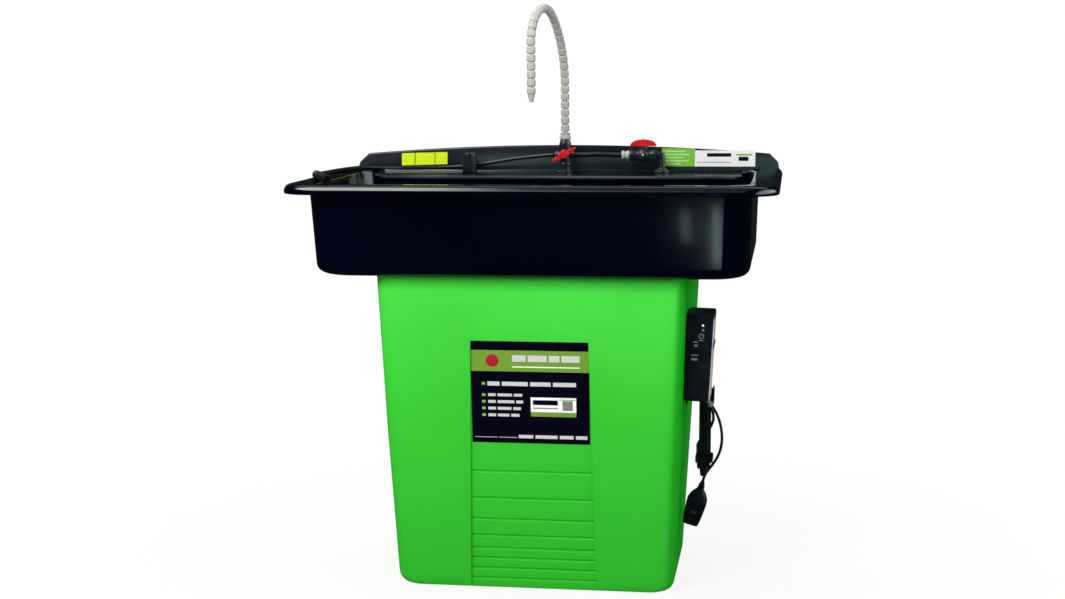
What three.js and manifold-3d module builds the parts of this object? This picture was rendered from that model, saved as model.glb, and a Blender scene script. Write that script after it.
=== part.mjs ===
// A parts washer: a black moulded sink on a tapered green reservoir, with a submerged pump, a ball
// valve, a diverter, a modular gooseneck hose, a flow-through brush and a mains control box.
// Millimetres. X runs to the right, Y to the back and Z up. The origin is on the floor, under the
// middle of the sink's rim.

import * as THREE from 'three';
import { mergeVertices } from 'three/addons/utils/BufferGeometryUtils.js';
import Module from 'manifold-3d';

const wasm = await Module();
wasm.setup();

// Clearances and counts shared by all pieces
const seatGap = 0.3;
const runningGap = 0.4;
const cutOverrun = 3;
const cornerSteps = 4;
const roundSides = 14;
const smallSides = 8;
const hoseSides = 8;

// Sink
const sinkWidth = 1270;
const sinkDepth = 890;
const rimHeight = 1081;
const sinkHeight = 239;
const rimSideOverhang = 66;
const rimEndOverhang = 35;
const rimThickness = 25;
const rimRoll = 9;
const rimCorner = 95;
const sinkWall = 7;
const sinkBodyCorner = 70;
const sinkSideTaper = 6;
const sinkEndTaper = 28;
const sinkFootSide = 38;
const sinkFootEnd = 24;
const sinkFootHeight = 28;
const footSteps = 3;
const rollSteps = 2;

// Basin, its shelf and its sump
const basinSideRim = 75;
const basinFrontRim = 55;
const basinBackRim = 56;
const basinLip = 6;
const basinCorner = 60;
const basinSideTaper = 15;
const basinEndTaper = 18;
const shelfHeight = 63;
const shelfWidth = 23;
const sumpCorner = 40;
const sumpEdgeFloor = 16;
const sumpDrainFloor = 11;
const drainBore = 46;

// Ledge at the back, and the hollow under it
const ledgeWidth = 205;
const ledgeDrop = 15;
const ledgeEndRim = 63;
const ledgeCorner = 30;
const channelEndWall = 25;
const channelCorner = 20;
const windowWidth = 620;
const windowDepth = 120;
const windowSetback = 22;

// Back splash
const splashRise = 61;
const splashEndRise = 37;
const splashEndRun = 34;
const splashThickness = 14;
const splashLean = 20;
const splashEdge = 5;
const splashBackSlope = 10;
const splashSteps = 14;

// Locating lip under the sink
const lipDepth = 12;
const lipThickness = 6;
const lipClearance = 1.5;

// Tank
const tankTopWidth = 806;
const tankBottomWidth = 738;
const tankSideBulge = 3;
const tankFrontTop = 356;
const tankFrontBottom = 290;
const tankBackTop = 384;
const tankBackBottom = 145;
const tankWall = 7;
const tankFrontCorner = 42;
const tankBackCorner = 70;
const tankFootSide = 24;
const tankFootEnd = 12;
const tankFootHeight = 34;
const tankFootCorner = 6;
const tankFlange = 30;
const tankFlangeThickness = 8;

// Recess in the tank's front, with grooves that lie closer towards the foot
const recessHeight = 674;
const recessTopWidth = 308;
const recessBottomWidth = 336;
const recessDepth = 7;
const grooveCount = 8;
const grooveTop = 322;
const grooveFirstPitch = 74;
const groovePitchShare = 0.78;
const grooveLastPitch = 28;
const grooveDepth = 5;
const grooveHeight = 9;

// False floor
const floorClearance = 3;
const floorThickness = 8;
const floorCorner = 52;
const floorEdgeHeight = 10;
const floorEdgeWidth = 8;
const floorRows = 5;
const floorColumns = 6;
const slotLength = 120;
const slotWidth = 14;
const slotRowPitch = 84;
const slotColumnPitch = 160;
const fingerHole = 34;

// Filter mat
const matThickness = 22;
const matClearance = 6;
const matCorner = 36;
const matEdge = 3;

// Drain fitting and its nut
const drainFlange = 68;
const drainFlangeThickness = 3;
const drainTail = 44;
const drainWay = 34;
const drainTailLength = 38;
const drainBar = 3;
const drainNutWidth = 62;
const drainNutHeight = 12;

// Pump
const pumpX = 190;
const pumpY = 60;
const strainerWidth = 116;
const strainerHeight = 30;
const strainerWall = 4;
const strainerSlots = 9;
const strainerSlotWidth = 9;
const strainerSlotHeight = 17;
const pumpHeight = 112;
const pumpShoulder = 12;
const voluteWidth = 80;
const voluteDepth = 18;
const impellerWidth = 70;
const impellerHeight = 11;
const impellerDisc = 3;
const impellerBlades = 6;
const impellerBladeThickness = 3;
const shaftWidth = 8;
const shaftLength = 60;
const outletOffset = 34;
const outletHeight = 30;
const outletCollar = 24;
const outletCollarHeight = 10;
const cableWidth = 7;
const cableFallShare = 0.35;
const cableShares = [[0.1, 0.3, 0.8], [0.5, 0.7, 0.86]];
const cableEndShare = 0.88;

// Riser hose from the pump to the ledge
const riserWidth = 22;
const riserShares = [[0, 0, 0.1], [0.2, 0.2, 0.4], [0.8, 0.75, 0.7], [1, 0.97, 0.86], [1, 1, 0.95]];
const riserWall = 3;
const riserSteps = 11;
const cableSteps = 16;

// Delivery line on the ledge: elbow, ball valve, nipple, hose
const lineHeight = 51;
const lineSetback = 49;
const elbowX = 289;
const elbowWidth = 21;
const elbowFlange = 45;
const elbowFlangeHeight = 12;
const elbowShank = 20;
const elbowTailLength = 42;
const elbowBore = 9;
const elbowReach = 14;
const valveLength = 80;
const valveEndWidth = 35;
const valveCollar = 14;
const valveNeckWidth = 31;
const valveBulgeWidth = 41;
const valveBulgeLength = 26;
const valveBoss = 26;
const valveBossHeight = 5;
const ballWidth = 24;
const ballBore = 13;
const stemWidth = 10;
const threadWidth = 17;
const threadLength = 11;
const handleLength = 76;
const handleHeight = 19;
const handleThickness = 13;
const handleTopShare = 0.22;
const handleShoulderShare = 0.86;
const handleShoulderRiseShare = 0.58;
const handleHub = 27;
const handleHubHeight = 5;
const handleRib = 3;
const handleRibSpacing = 9;
const handleRibDepth = 2;
const screwHead = 6;
const screwHeadHeight = 2;
const nippleLength = 22;
const nippleWidth = 25;
const nippleNeck = 20;
const nippleRampShare = 1.1;
const nippleRing = 8;
const barbLength = 18;
const supplyWidth = 14;
const supplyBore = 9;
const supplyArch = 2;
const supplyShares = [[0.15, 0], [0.5, 1], [0.85, 0]];
const supplySteps = 4;

// Faucet post and its diverter
const faucetX = 7;
const postWidth = 32;
const postFootWidth = 46;
const postFootHeight = 5;
const postRingHeight = 24;
const postRingWidth = 35;
const postRingThickness = 4;
const postShoulderHeight = 74;
const postShoulderWidth = 36;
const postTopHeight = 97;
const postTopWidth = 27;
const postShank = 20;
const postShankLength = 34;
const postWay = 10;
const portWidth = 23;
const portReach = 28;
const portWay = 7;
const diverterHeight = 54;
const diverterCore = 17;
const diverterCoreDepth = 26;
const diverterTilt = 27.6;
const wingHub = 27;
const wingHubDepth = 14;
const wingLength = 80;
const wingRootWidth = 15;
const wingRootShare = 0.5;
const wingTipWidth = 10;
const wingThickness = 5;
const wingSetback = 3;
const ledgeNutWidth = 32;
const ledgeNutHeight = 9;

// Modular hose: one link is a socket, a waist and a ball
const connectorWidth = 33;
const connectorNeck = 27;
const connectorBulge = 31;
const connectorHeight = 22;
const linkPitch = 22.6;
const linkWidth = 24.4;
const linkRimWidth = 22.6;
const linkRimDrop = 4.4;
const linkBarrelStart = 4;
const linkBarrelEnd = 12;
const linkNeck = 15.4;
const linkShoulderWidth = 22.6;
const linkBall = 17;
const linkSocket = 18.9;
const linkBore = 9;
const linkBallCut = 6;
const linkSeat = 1.8;
const linkNeckWidth = 13.2;
const linkSides = 9;
const straightLinks = 6;
const leanLinks = 10;
const leanAngle = 50;
const crownLinks = 10;
const crownAngle = 130;
const dropLinks = 5;
const hoseAzimuth = 14;
const hoseGroupStarts = [0, 6, 11, 16, 21, 26];
const nozzleLength = 36;
const nozzleSkirt = 11;
const nozzleTip = 12;
const nozzleShoulderWidth = 20;
const nozzleShoulder = 14;

// Ribbed post that keeps the brush hose against the splash
const guideX = -277;
const guideWidth = 43.5;
const guideHeight = 57;
const guideRibs = 15;
const guideRibDepth = 1.8;
const guideCapHeight = 6;
const guideCapInset = 3;
const guideShank = 12;

// Flow-through brush on the left front corner of the rim
const brushRearInset = 45;
const brushRearSetback = 230;
const brushFrontInset = 135;
const brushFrontSetback = 20;
const brushHoseOffset = [0.15, 0.4];
const brushWidth = 26.6;
const brushGripWidth = 23;
const brushHandleLength = 152;
const brushRings = 4;
const brushRingPitch = 11;
const brushRingDepth = 1.5;
const brushNeckWidth = 15;
const brushNeckLength = 16;
const ferruleLength = 34;
const ferruleCollar = 6;
const bristleSlice = 4;
const bristleLength = 26;
const bristleTuftWidth = 21;
const bristleRings = 10;
const bristleWidth = 0.8;
const brushHoseWidth = 11;
const brushHoseSteps = 30;

// Control box on the tank's right side, with the heater and level switch behind it
const boxSinkClearance = 97.7;
const boxSetback = 215;
const boxWidth = 70;
const boxDepth = 120;
const boxHeight = 216;
const boxEdge = 5;
const boxWall = 3;
const boxTaper = 5;
const capHeight = 12;
const capInset = 10;
const capSteps = 4;
const panelThickness = 2;
const panelMargin = 4;
const bandHeight = 8;
const bandPlace = 30;
const bandThickness = 2;
const glandInset = 11;
const glandCollar = 20;
const glandCollarHeight = 9;
const glandWidth = 16;
const glandLength = 32;
const glandTip = 10.5;
const glandTilt = 25;
const pegFootWidth = 56;
const pegFootThickness = 3;
const pegRimWidth = 50;
const pegRimThickness = 3.5;
const heaterDrop = 60;
const heaterBack = -10;
const heaterFlange = 44;
const heaterFlangeThickness = 8;
const heaterShank = 27;
const heaterReach = 250;
const heaterRod = 9;
const heaterLoop = 26;
const heaterSteps = 18;
const switchRise = 20;
const switchBack = 30;
const switchFlange = 30;
const switchShank = 16;
const switchNeck = 34;
const switchForkWidth = 14;
const switchForkLength = 16;
const switchSlot = 6;
const floatLength = 62;
const floatWidth = 26;
const floatArm = 22;
const floatPin = 3;

// Mains cord, its hank and its plug
const cordWidth = 7.5;
const cordSides = 8;
const cordStretchSteps = 16;
const hankSides = 6;
const hankX = 439.9;
const hankY = -115;
const hankTurns = 4;
const hankPitch = 8.3;
const hankRadius = 24;
const hankTop = 502;
const hankBottom = 304;
const hankEndRise = 10;
const hankStart = 354;
const hankStraightSteps = 4;
const hankBendSteps = 8;
const strapHeight = 16;
const strapThickness = 2;
const strapPlace = 322;
const strapSlack = 0.6;
const plugX = 438;
const plugY = -147;
const plugZ = 272;
const plugTilt = 16;
const plugNeckWidth = 13;
const plugNeckLength = 24;
const plugWidth = 54;
const plugDepth = 33;
const plugTipWidth = 44;
const plugTipDepth = 28;
const plugLength = 124;
const plugShoulder = 14;
const plugCorner = 7;
const plugNeckShares = [[2, 1.5, 0.67, 1], [1.3, 1.2, 0.5, 0.9], [0.8, 0.8, 0.38, 0]];
const plugTipCorner = 9;
const bladeWidth = 6.3;
const bladeThickness = 1.6;
const bladeLength = 16;
const bladeSpacing = 12.7;
const groundPin = 4.8;
const bladePlace = 84;
const groundPlace = 96;
const buttonWidth = 15;
const buttonHeight = 9;
const buttonDepth = 6;
const buttonProud = 2;
const buttonTravel = 1.5;
const resetPlace = 66;
const testPlace = 84;

// Places that follow from the sizes
const sinkBottom = rimHeight - sinkHeight;
const brushRearX = brushRearInset - sinkWidth / 2;
const brushRearY = brushRearSetback - sinkDepth / 2;
const brushFrontX = brushFrontInset - sinkWidth / 2;
const brushFrontY = brushFrontSetback - sinkDepth / 2;
const boxHeightOnTank = sinkBottom - boxSinkClearance - capHeight - seatGap - boxHeight / 2;
const lipLow = rimHeight - rimThickness;
const ledgeHeight = rimHeight - ledgeDrop;
const basinBack = sinkDepth / 2 - basinBackRim - ledgeWidth;
const basinHalf = sinkWidth / 2 - basinSideRim;
const basinFront = -sinkDepth / 2 + basinFrontRim;
const shelfZ = sinkBottom + shelfHeight;
const sumpZ = sinkBottom + sumpEdgeFloor;
const lineY = sinkDepth / 2 - basinBackRim - lineSetback;
const lineZ = ledgeHeight + lineHeight;
const tankTop = sinkBottom - seatGap;
const degree = Math.PI / 180;
const fullTurn = Math.PI * 2;

// Small tools for lists and shapes

const count = (total) => Array.from({ length: total }, (_, i) => i);
const mix = (a, b, share) => a + (b - a) * share;

// One indexed closed body with merged corners, no empty triangles and its faces pointing out
function tidy(source) {
  const bare = new THREE.BufferGeometry();
  bare.setAttribute('position', source.getAttribute('position').clone());
  if (source.index) bare.setIndex(source.index.clone());
  const merged = mergeVertices(bare);
  const spots = merged.getAttribute('position');
  const kept = [];
  let volume = 0;
  for (let i = 0; i < merged.index.count; i += 3) {
    const [a, b, c] = [0, 1, 2].map((k) => merged.index.getX(i + k));
    if (a === b || b === c || c === a) continue;
    kept.push([a, b, c]);
    const [p, q, r] = [a, b, c].map((k) => new THREE.Vector3().fromBufferAttribute(spots, k));
    volume += p.dot(q.cross(r));
  }
  merged.setIndex(kept.flatMap(([a, b, c]) => (volume > 0 ? [a, b, c] : [a, c, b])));
  return merged;
}

function toSolid(geometry) {
  const clean = tidy(geometry);
  return new wasm.Manifold(new wasm.Mesh({
    numProp: 3,
    vertProperties: new Float32Array(clean.getAttribute('position').array),
    triVerts: new Uint32Array(clean.index.array),
  }));
}

function toGeometry(solid) {
  const mesh = solid.getMesh();
  const geometry = new THREE.BufferGeometry();
  geometry.setAttribute('position', new THREE.BufferAttribute(mesh.vertProperties, 3));
  geometry.setIndex(new THREE.BufferAttribute(mesh.triVerts, 1));
  return geometry;
}

const join = (...parts) => toGeometry(parts.map(toSolid).reduce((sum, next) => sum.add(next)));
const cut = (body, ...tools) => toGeometry(
  tools.map(toSolid).reduce((left, tool) => left.subtract(tool), toSolid(body)),
);

const onXY = (p) => new THREE.Vector2(p.x, p.y);
const onYZ = (p) => new THREE.Vector2(p.y, p.z);

// A closed body through rings of equal length. Its end rings are capped in the flat view given, or
// the last ring joins the first where there is none.
function loft(rings, flat = onXY) {
  const size = rings[0].length;
  const index = [];
  const rows = flat ? rings.length - 1 : rings.length;
  count(rows).forEach((row) => {
    const above = (row + 1) % rings.length;
    count(size).forEach((i) => {
      const next = (i + 1) % size;
      const [a, b] = [row * size + i, row * size + next];
      const [c, d] = [above * size + next, above * size + i];
      index.push(a, b, c, a, c, d);
    });
  });
  if (flat) {
    [0, rings.length - 1].forEach((row) => {
      const outline = rings[row].map(flat);
      const turn = Math.sign(THREE.ShapeUtils.area(outline));
      THREE.ShapeUtils.triangulateShape(outline, []).forEach((corners) => {
        const facing = Math.sign(THREE.ShapeUtils.area(corners.map((k) => outline[k])));
        const upward = facing === turn ? corners : [...corners].reverse();
        const outward = row === 0 ? [...upward].reverse() : upward;
        index.push(...outward.map((k) => row * size + k));
      });
    });
  }
  const geometry = new THREE.BufferGeometry();
  geometry.setAttribute('position', new THREE.Float32BufferAttribute(
    rings.flat().flatMap((p) => [p.x, p.y, p.z]),
    3,
  ));
  geometry.setIndex(index);
  return tidy(geometry);
}

// A level ring of points round a rounded rectangle
function roundedRing(x0, x1, y0, y1, frontCorner, backCorner, z, steps = cornerSteps) {
  const corners = [
    [x1 - backCorner, y1 - backCorner, backCorner],
    [x0 + backCorner, y1 - backCorner, backCorner],
    [x0 + frontCorner, y0 + frontCorner, frontCorner],
    [x1 - frontCorner, y0 + frontCorner, frontCorner],
  ];
  return corners.flatMap(([cx, cy, radius], quarter) => count(steps + 1).map((i) => {
    const angle = (quarter + i / steps) * Math.PI / 2;
    return new THREE.Vector3(cx + radius * Math.cos(angle), cy + radius * Math.sin(angle), z);
  }));
}

// A straight block with rounded upright edges
const block = (x0, x1, y0, y1, z0, z1, corner) => loft([z0, z1].map(
  (z) => roundedRing(x0, x1, y0, y1, corner, corner, z, 2),
));

const plainBox = (x0, x1, y0, y1, z0, z1) => new THREE.BoxGeometry(x1 - x0, y1 - y0, z1 - z0)
  .translate((x0 + x1) / 2, (y0 + y1) / 2, (z0 + z1) / 2);

// A turned body about Z; its outline of [radius, height] pairs runs from the axis or closes on itself
function turned(outline, sides = roundSides) {
  const onAxis = outline[0][0] === 0;
  const closed = onAxis ? outline : [...outline, outline[0]];
  const points = closed.map(([radius, height]) => new THREE.Vector2(radius, height));
  return tidy(new THREE.LatheGeometry(points, sides).rotateX(Math.PI / 2));
}

const rod = (width, z0, z1, sides = roundSides) => turned(
  [[0, z0], [width / 2, z0], [width / 2, z1], [0, z1]],
  sides,
);

const pipe = (outer, inner, z0, z1, sides = roundSides) => turned(
  [[inner / 2, z0], [outer / 2, z0], [outer / 2, z1], [inner / 2, z1]],
  sides,
);

// Turned bodies laid along X, or along Y
const alongX = (geometry) => geometry.rotateY(Math.PI / 2);
const alongY = (geometry) => geometry.rotateX(-Math.PI / 2);

// A hexagon prism across its flats, bored with the same facets as the shank it turns on
function hexNut(acrossFlats, bore, z0, z1) {
  const corner = acrossFlats / Math.sqrt(3);
  const body = turned([[0, z0], [corner, z0], [corner, z1], [0, z1]], 6);
  return cut(body, rod(bore, z0 - cutOverrun, z1 + cutOverrun));
}

// The widest rod that a faceted bore clears by the running gap
const insideBore = (bore) => bore * Math.cos(Math.PI / hoseSides) - runningGap * 2;

// A round tube along a curve, solid or bored
function tube(points, width, sides, steps, bore = 0) {
  const ring = (radius) => count(sides).map((i) => new THREE.Vector2(
    radius * Math.cos(fullTurn * i / sides),
    radius * Math.sin(fullTurn * i / sides),
  ));
  const section = new THREE.Shape(ring(width / 2));
  if (bore > 0) section.holes.push(new THREE.Path(ring(bore / 2).reverse()));
  const route = new THREE.CatmullRomCurve3(points);
  return tidy(new THREE.ExtrudeGeometry(section, { extrudePath: route, steps, bevelEnabled: false }));
}

const spot = (x, y, z) => new THREE.Vector3(x, y, z);

const washer = new THREE.Group();

function piece(name, geometry, finish, parent = washer) {
  const mesh = new THREE.Mesh(geometry, new THREE.MeshStandardMaterial(finish));
  mesh.name = name;
  parent.add(mesh);
  return mesh;
}

// Finishes
const blackMoulding = { color: 0x0b0b14, roughness: 0.35, metalness: 0 };
const greenMoulding = { color: 0x30b528, roughness: 0.45, metalness: 0 };
const blackPlastic = { color: 0x111116, roughness: 0.45, metalness: 0 };
const redPlastic = { color: 0xc81414, roughness: 0.4, metalness: 0 };
const greyPlastic = { color: 0xb8bab0, roughness: 0.55, metalness: 0 };
const blackRubber = { color: 0x0c0c10, roughness: 0.6, metalness: 0 };
const greyFelt = { color: 0x8d8f8a, roughness: 0.95, metalness: 0 };
const steel = { color: 0xb9bbb8, roughness: 0.35, metalness: 1 };
const brass = { color: 0xc9a24a, roughness: 0.3, metalness: 1 };
const blueSteel = { color: 0x7e8488, roughness: 0.3, metalness: 1 };

// Sink: an outer skin with a turned-down rim, a tapered basin with a shelf and a sloping sump, a
// ledge at the back over a hollow channel, and an arched splash

const sinkRing = (halfWidth, halfDepth, corner, z) => roundedRing(
  -halfWidth,
  halfWidth,
  -halfDepth,
  halfDepth,
  corner,
  corner,
  z,
);

const rimHalf = [sinkWidth / 2, sinkDepth / 2];
const bodyHalf = [sinkWidth / 2 - rimSideOverhang, sinkDepth / 2 - rimEndOverhang];
const footHalf = [bodyHalf[0] - sinkSideTaper, bodyHalf[1] - sinkEndTaper];

function sinkSkin() {
  const foot = count(footSteps + 1).map((i) => {
    const angle = i / footSteps * Math.PI / 2;
    return sinkRing(
      footHalf[0] - sinkFootSide * (1 - Math.sin(angle)),
      footHalf[1] - sinkFootEnd * (1 - Math.sin(angle)),
      sinkBodyCorner,
      sinkBottom + sinkFootHeight * (1 - Math.cos(angle)),
    );
  });
  const roll = [-1, 1].flatMap((side) => count(rollSteps + 1).map((i) => {
    const angle = (side < 0 ? i : rollSteps - i) / rollSteps * Math.PI / 2;
    const inset = rimRoll * (1 - Math.sin(angle));
    const level = side < 0 ? lipLow + rimRoll : rimHeight - rimRoll;
    return sinkRing(
      rimHalf[0] - inset,
      rimHalf[1] - inset,
      rimCorner - inset,
      level + side * rimRoll * Math.cos(angle),
    );
  }));
  return loft([...foot, sinkRing(bodyHalf[0], bodyHalf[1], sinkBodyCorner, lipLow), ...roll]);
}

// The groove under the rim, which leaves a turned-down lip of one wall
function rimGroove() {
  const outer = [lipLow - cutOverrun, rimHeight - sinkWall].map((z) => sinkRing(
    rimHalf[0] - sinkWall,
    rimHalf[1] - sinkWall,
    rimCorner - sinkWall,
    z,
  ));
  const inner = [lipLow - cutOverrun * 2, rimHeight].map((z) => sinkRing(
    bodyHalf[0] + seatGap,
    bodyHalf[1] + seatGap,
    sinkBodyCorner,
    z,
  ));
  return cut(loft(outer), loft(inner));
}

const shelfHalf = basinHalf - basinSideTaper;
const shelfFront = basinFront + basinEndTaper;
const shelfBack = basinBack - basinEndTaper;

function basinCavity() {
  const ring = (grow, corner, z) => roundedRing(
    -basinHalf - grow,
    basinHalf + grow,
    basinFront - grow,
    basinBack + grow,
    corner + grow,
    corner + grow,
    z,
  );
  const shelf = (inset, corner) => (z) => roundedRing(
    -shelfHalf + inset,
    shelfHalf - inset,
    shelfFront + inset,
    shelfBack - inset,
    corner,
    corner,
    z,
  );
  const drainRing = roundedRing(
    -drainFlange / 2,
    drainFlange / 2,
    (shelfFront + shelfBack) / 2 - drainFlange / 2,
    (shelfFront + shelfBack) / 2 + drainFlange / 2,
    drainFlange / 2,
    drainFlange / 2,
    sinkBottom + sumpDrainFloor,
  );
  return loft([
    drainRing,
    shelf(shelfWidth, sumpCorner)(sumpZ),
    shelf(shelfWidth, sumpCorner)(shelfZ),
    shelf(0, basinCorner - basinLip)(shelfZ),
    ring(0, basinCorner, rimHeight - basinLip),
    ring(basinLip, basinCorner, rimHeight),
    ring(basinLip, basinCorner, rimHeight + cutOverrun),
  ]);
}

const drainY = (shelfFront + shelfBack) / 2;

function ledgeCavity() {
  const half = sinkWidth / 2 - ledgeEndRim;
  return loft([ledgeHeight, rimHeight + cutOverrun].map((z) => roundedRing(
    -half,
    half,
    basinFront + basinCorner * 2,
    sinkDepth / 2 - basinBackRim,
    ledgeCorner,
    ledgeCorner,
    z,
  )));
}

// The ledge's recess only covers the part behind the basin, so its front is trimmed off
function ledgeRecess() {
  return cut(ledgeCavity(), plainBox(
    -sinkWidth,
    sinkWidth,
    -sinkDepth,
    basinBack - basinLip,
    ledgeHeight - cutOverrun,
    rimHeight + cutOverrun * 2,
  ));
}

const channelFrontTop = basinBack + sinkWall + basinLip;
const channelBackTop = bodyHalf[1] - sinkWall;
const channelHalf = footHalf[0] - channelEndWall;

function channelCavity() {
  const low = sinkBottom + sumpDrainFloor;
  return loft([
    roundedRing(
      -channelHalf,
      channelHalf,
      channelFrontTop - basinEndTaper,
      channelBackTop - sinkEndTaper,
      channelCorner,
      channelCorner,
      low,
    ),
    roundedRing(
      -channelHalf,
      channelHalf,
      channelFrontTop,
      channelBackTop,
      channelCorner,
      channelCorner,
      ledgeHeight - sinkWall,
    ),
  ]);
}

// Splash: slices across X, each a leaning ridge with rounded top edges
function splashSlice(x, top) {
  const foot = sinkDepth / 2 - basinBackRim;
  const lean = splashLean * (top - ledgeHeight) / (splashRise + ledgeDrop);
  const crest = foot + lean;
  const back = crest + splashThickness;
  return [
    spot(x, foot - seatGap, ledgeHeight - cutOverrun),
    spot(x, foot, ledgeHeight),
    spot(x, crest - splashEdge / 4, top - splashEdge),
    spot(x, crest + splashEdge / 2, top),
    spot(x, back - splashEdge / 2, top),
    spot(x, back + splashEdge / 4, top - splashEdge),
    spot(x, back + splashBackSlope, rimHeight - cutOverrun),
    spot(x, back + splashBackSlope, ledgeHeight - cutOverrun),
  ];
}

function splash() {
  const end = sinkWidth / 2 - rimRoll / 2;
  const shoulder = end - splashEndRun;
  const arch = (x) => rimHeight + mix(splashEndRise, splashRise, 1 - (x / shoulder) ** 2);
  const middle = count(splashSteps + 1).map((i) => {
    const x = mix(-shoulder, shoulder, i / splashSteps);
    return splashSlice(x, arch(x));
  });
  const low = rimHeight + splashEdge;
  return loft([splashSlice(-end, low), ...middle, splashSlice(end, low)], onYZ);
}

// Everything behind the rim's rounded outline is trimmed off the splash
function splashKeep() {
  return loft([ledgeHeight - cutOverrun * 2, rimHeight + splashRise * 2].map((z) => sinkRing(
    rimHalf[0],
    rimHalf[1],
    rimCorner,
    z,
  )));
}

const intersect = (a, b) => toGeometry(toSolid(a).intersect(toSolid(b)));

// The lip under the sink that drops into the tank's mouth
const mouthHalf = tankTopWidth / 2 - tankFlange;
const mouthFront = -tankFrontTop + tankFlange;
const mouthBack = tankBackTop - tankFlange;

function locatingLip() {
  const ring = (inset, z) => roundedRing(
    -mouthHalf + inset,
    mouthHalf - inset,
    mouthFront + inset,
    mouthBack - inset,
    tankFrontCorner,
    tankFrontCorner,
    z,
  );
  const levels = [sinkBottom - lipDepth, sinkBottom + seatGap];
  const outer = loft(levels.map((z) => ring(lipClearance, z)));
  const inner = loft([sinkBottom - lipDepth - cutOverrun, sinkBottom + cutOverrun].map(
    (z) => ring(lipClearance + lipThickness, z),
  ));
  return cut(outer, inner);
}

const throughLedge = (x, width) => rod(
  width + runningGap * 2,
  ledgeHeight - sinkWall - cutOverrun,
  ledgeHeight + cutOverrun,
).translate(x, lineY, 0);

function sink() {
  const shell = join(sinkSkin(), intersect(splash(), splashKeep()));
  const hollow = cut(
    shell,
    basinCavity(),
    ledgeRecess(),
    channelCavity(),
    rimGroove(),
  );
  const window = block(
    -windowWidth / 2,
    windowWidth / 2,
    channelFrontTop + windowSetback,
    channelFrontTop + windowSetback + windowDepth,
    sinkBottom - cutOverrun,
    sinkBottom + sumpDrainFloor + cutOverrun,
    channelCorner,
  );
  const drilled = cut(
    hollow,
    window,
    rod(drainBore, sinkBottom - cutOverrun, sumpZ + cutOverrun).translate(0, drainY, 0),
    throughLedge(faucetX, postShank),
    throughLedge(elbowX, elbowShank),
    throughLedge(guideX, guideShank),
  );
  return join(drilled, locatingLip());
}

piece('sink', sink(), blackMoulding);

// Tank: flat tapered sides that bow out a little at half height, a rounded foot, a flanged mouth
// and a front recess with grooves

const midHeight = tankTop / 2;
const midHalf = (tankTopWidth + tankBottomWidth) / 4 + tankSideBulge;

function tankHalfAt(z) {
  return z < midHeight
    ? mix(tankBottomWidth / 2, midHalf, z / midHeight)
    : mix(midHalf, tankTopWidth / 2, (z - midHeight) / (tankTop - midHeight));
}

const tankFrontAt = (z) => -mix(tankFrontBottom, tankFrontTop, z / tankTop);
const tankBackAt = (z) => mix(tankBackBottom, tankBackTop, z / tankTop);

const tankRing = (z, inset, sideInset = inset, endInset = inset, growth = 0) => roundedRing(
  -tankHalfAt(z) + sideInset,
  tankHalfAt(z) - sideInset,
  tankFrontAt(z) + endInset,
  tankBackAt(z) - endInset,
  tankFrontCorner - inset + growth,
  tankBackCorner - inset + growth,
  z,
);

function tankSkin(inset, low, high) {
  const foot = count(footSteps + 1).map((i) => {
    const angle = i / footSteps * Math.PI / 2;
    return tankRing(
      low + (tankFootHeight - low) * (1 - Math.cos(angle)),
      inset,
      inset + tankFootSide * (1 - Math.sin(angle)),
      inset + tankFootEnd * (1 - Math.sin(angle)),
      tankFootCorner * (1 - Math.sin(angle)),
    );
  });
  return loft([...foot, tankRing(midHeight, inset), tankRing(high, inset)]);
}

// A tapered slab that follows the front's slope; it reaches from outside to a depth behind it
function frontSlab(topWidth, bottomWidth, low, high, depth) {
  const ring = (z) => {
    const half = mix(bottomWidth, topWidth, z / recessHeight) / 2;
    const face = tankFrontAt(z);
    return [
      spot(-half, face + depth, z),
      spot(-half, face - cutOverrun, z),
      spot(half, face - cutOverrun, z),
      spot(half, face + depth, z),
    ];
  };
  return loft([ring(low), ring(high)]);
}

// Groove heights: the pitch shrinks by a share each time, down to the last pitch
function grooveHeights() {
  const pitches = count(grooveCount - 1).map(
    (i) => Math.max(grooveLastPitch, grooveFirstPitch * groovePitchShare ** i),
  );
  return pitches.reduce((list, pitch) => [...list, list.at(-1) - pitch], [grooveTop]);
}

function groove(z) {
  const half = mix(recessBottomWidth, recessTopWidth, z / recessHeight) / 2;
  const face = tankFrontAt(z) + recessDepth;
  return loft([-half, half].map((x) => [
    spot(x, face - grooveDepth, z + grooveHeight),
    spot(x, face + grooveDepth, z),
    spot(x, face - grooveDepth, z - grooveHeight),
  ]), onYZ);
}

// The box, heater and switch share one frame on the tank's right side, tilted with the wall
const sideTilt = Math.atan((tankTopWidth / 2 - midHalf) / (tankTop - midHeight));
const side = new THREE.Group();
side.position.set(tankHalfAt(boxHeightOnTank), -boxSetback, boxHeightOnTank);
side.rotation.y = sideTilt;
side.updateMatrixWorld();
washer.add(side);

const heaterZ = -heaterDrop;
const throughWall = (width, y, z) => alongX(rod(width, -tankWall * 3, tankWall * 2))
  .translate(0, y, z)
  .applyMatrix4(side.matrixWorld);

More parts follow.
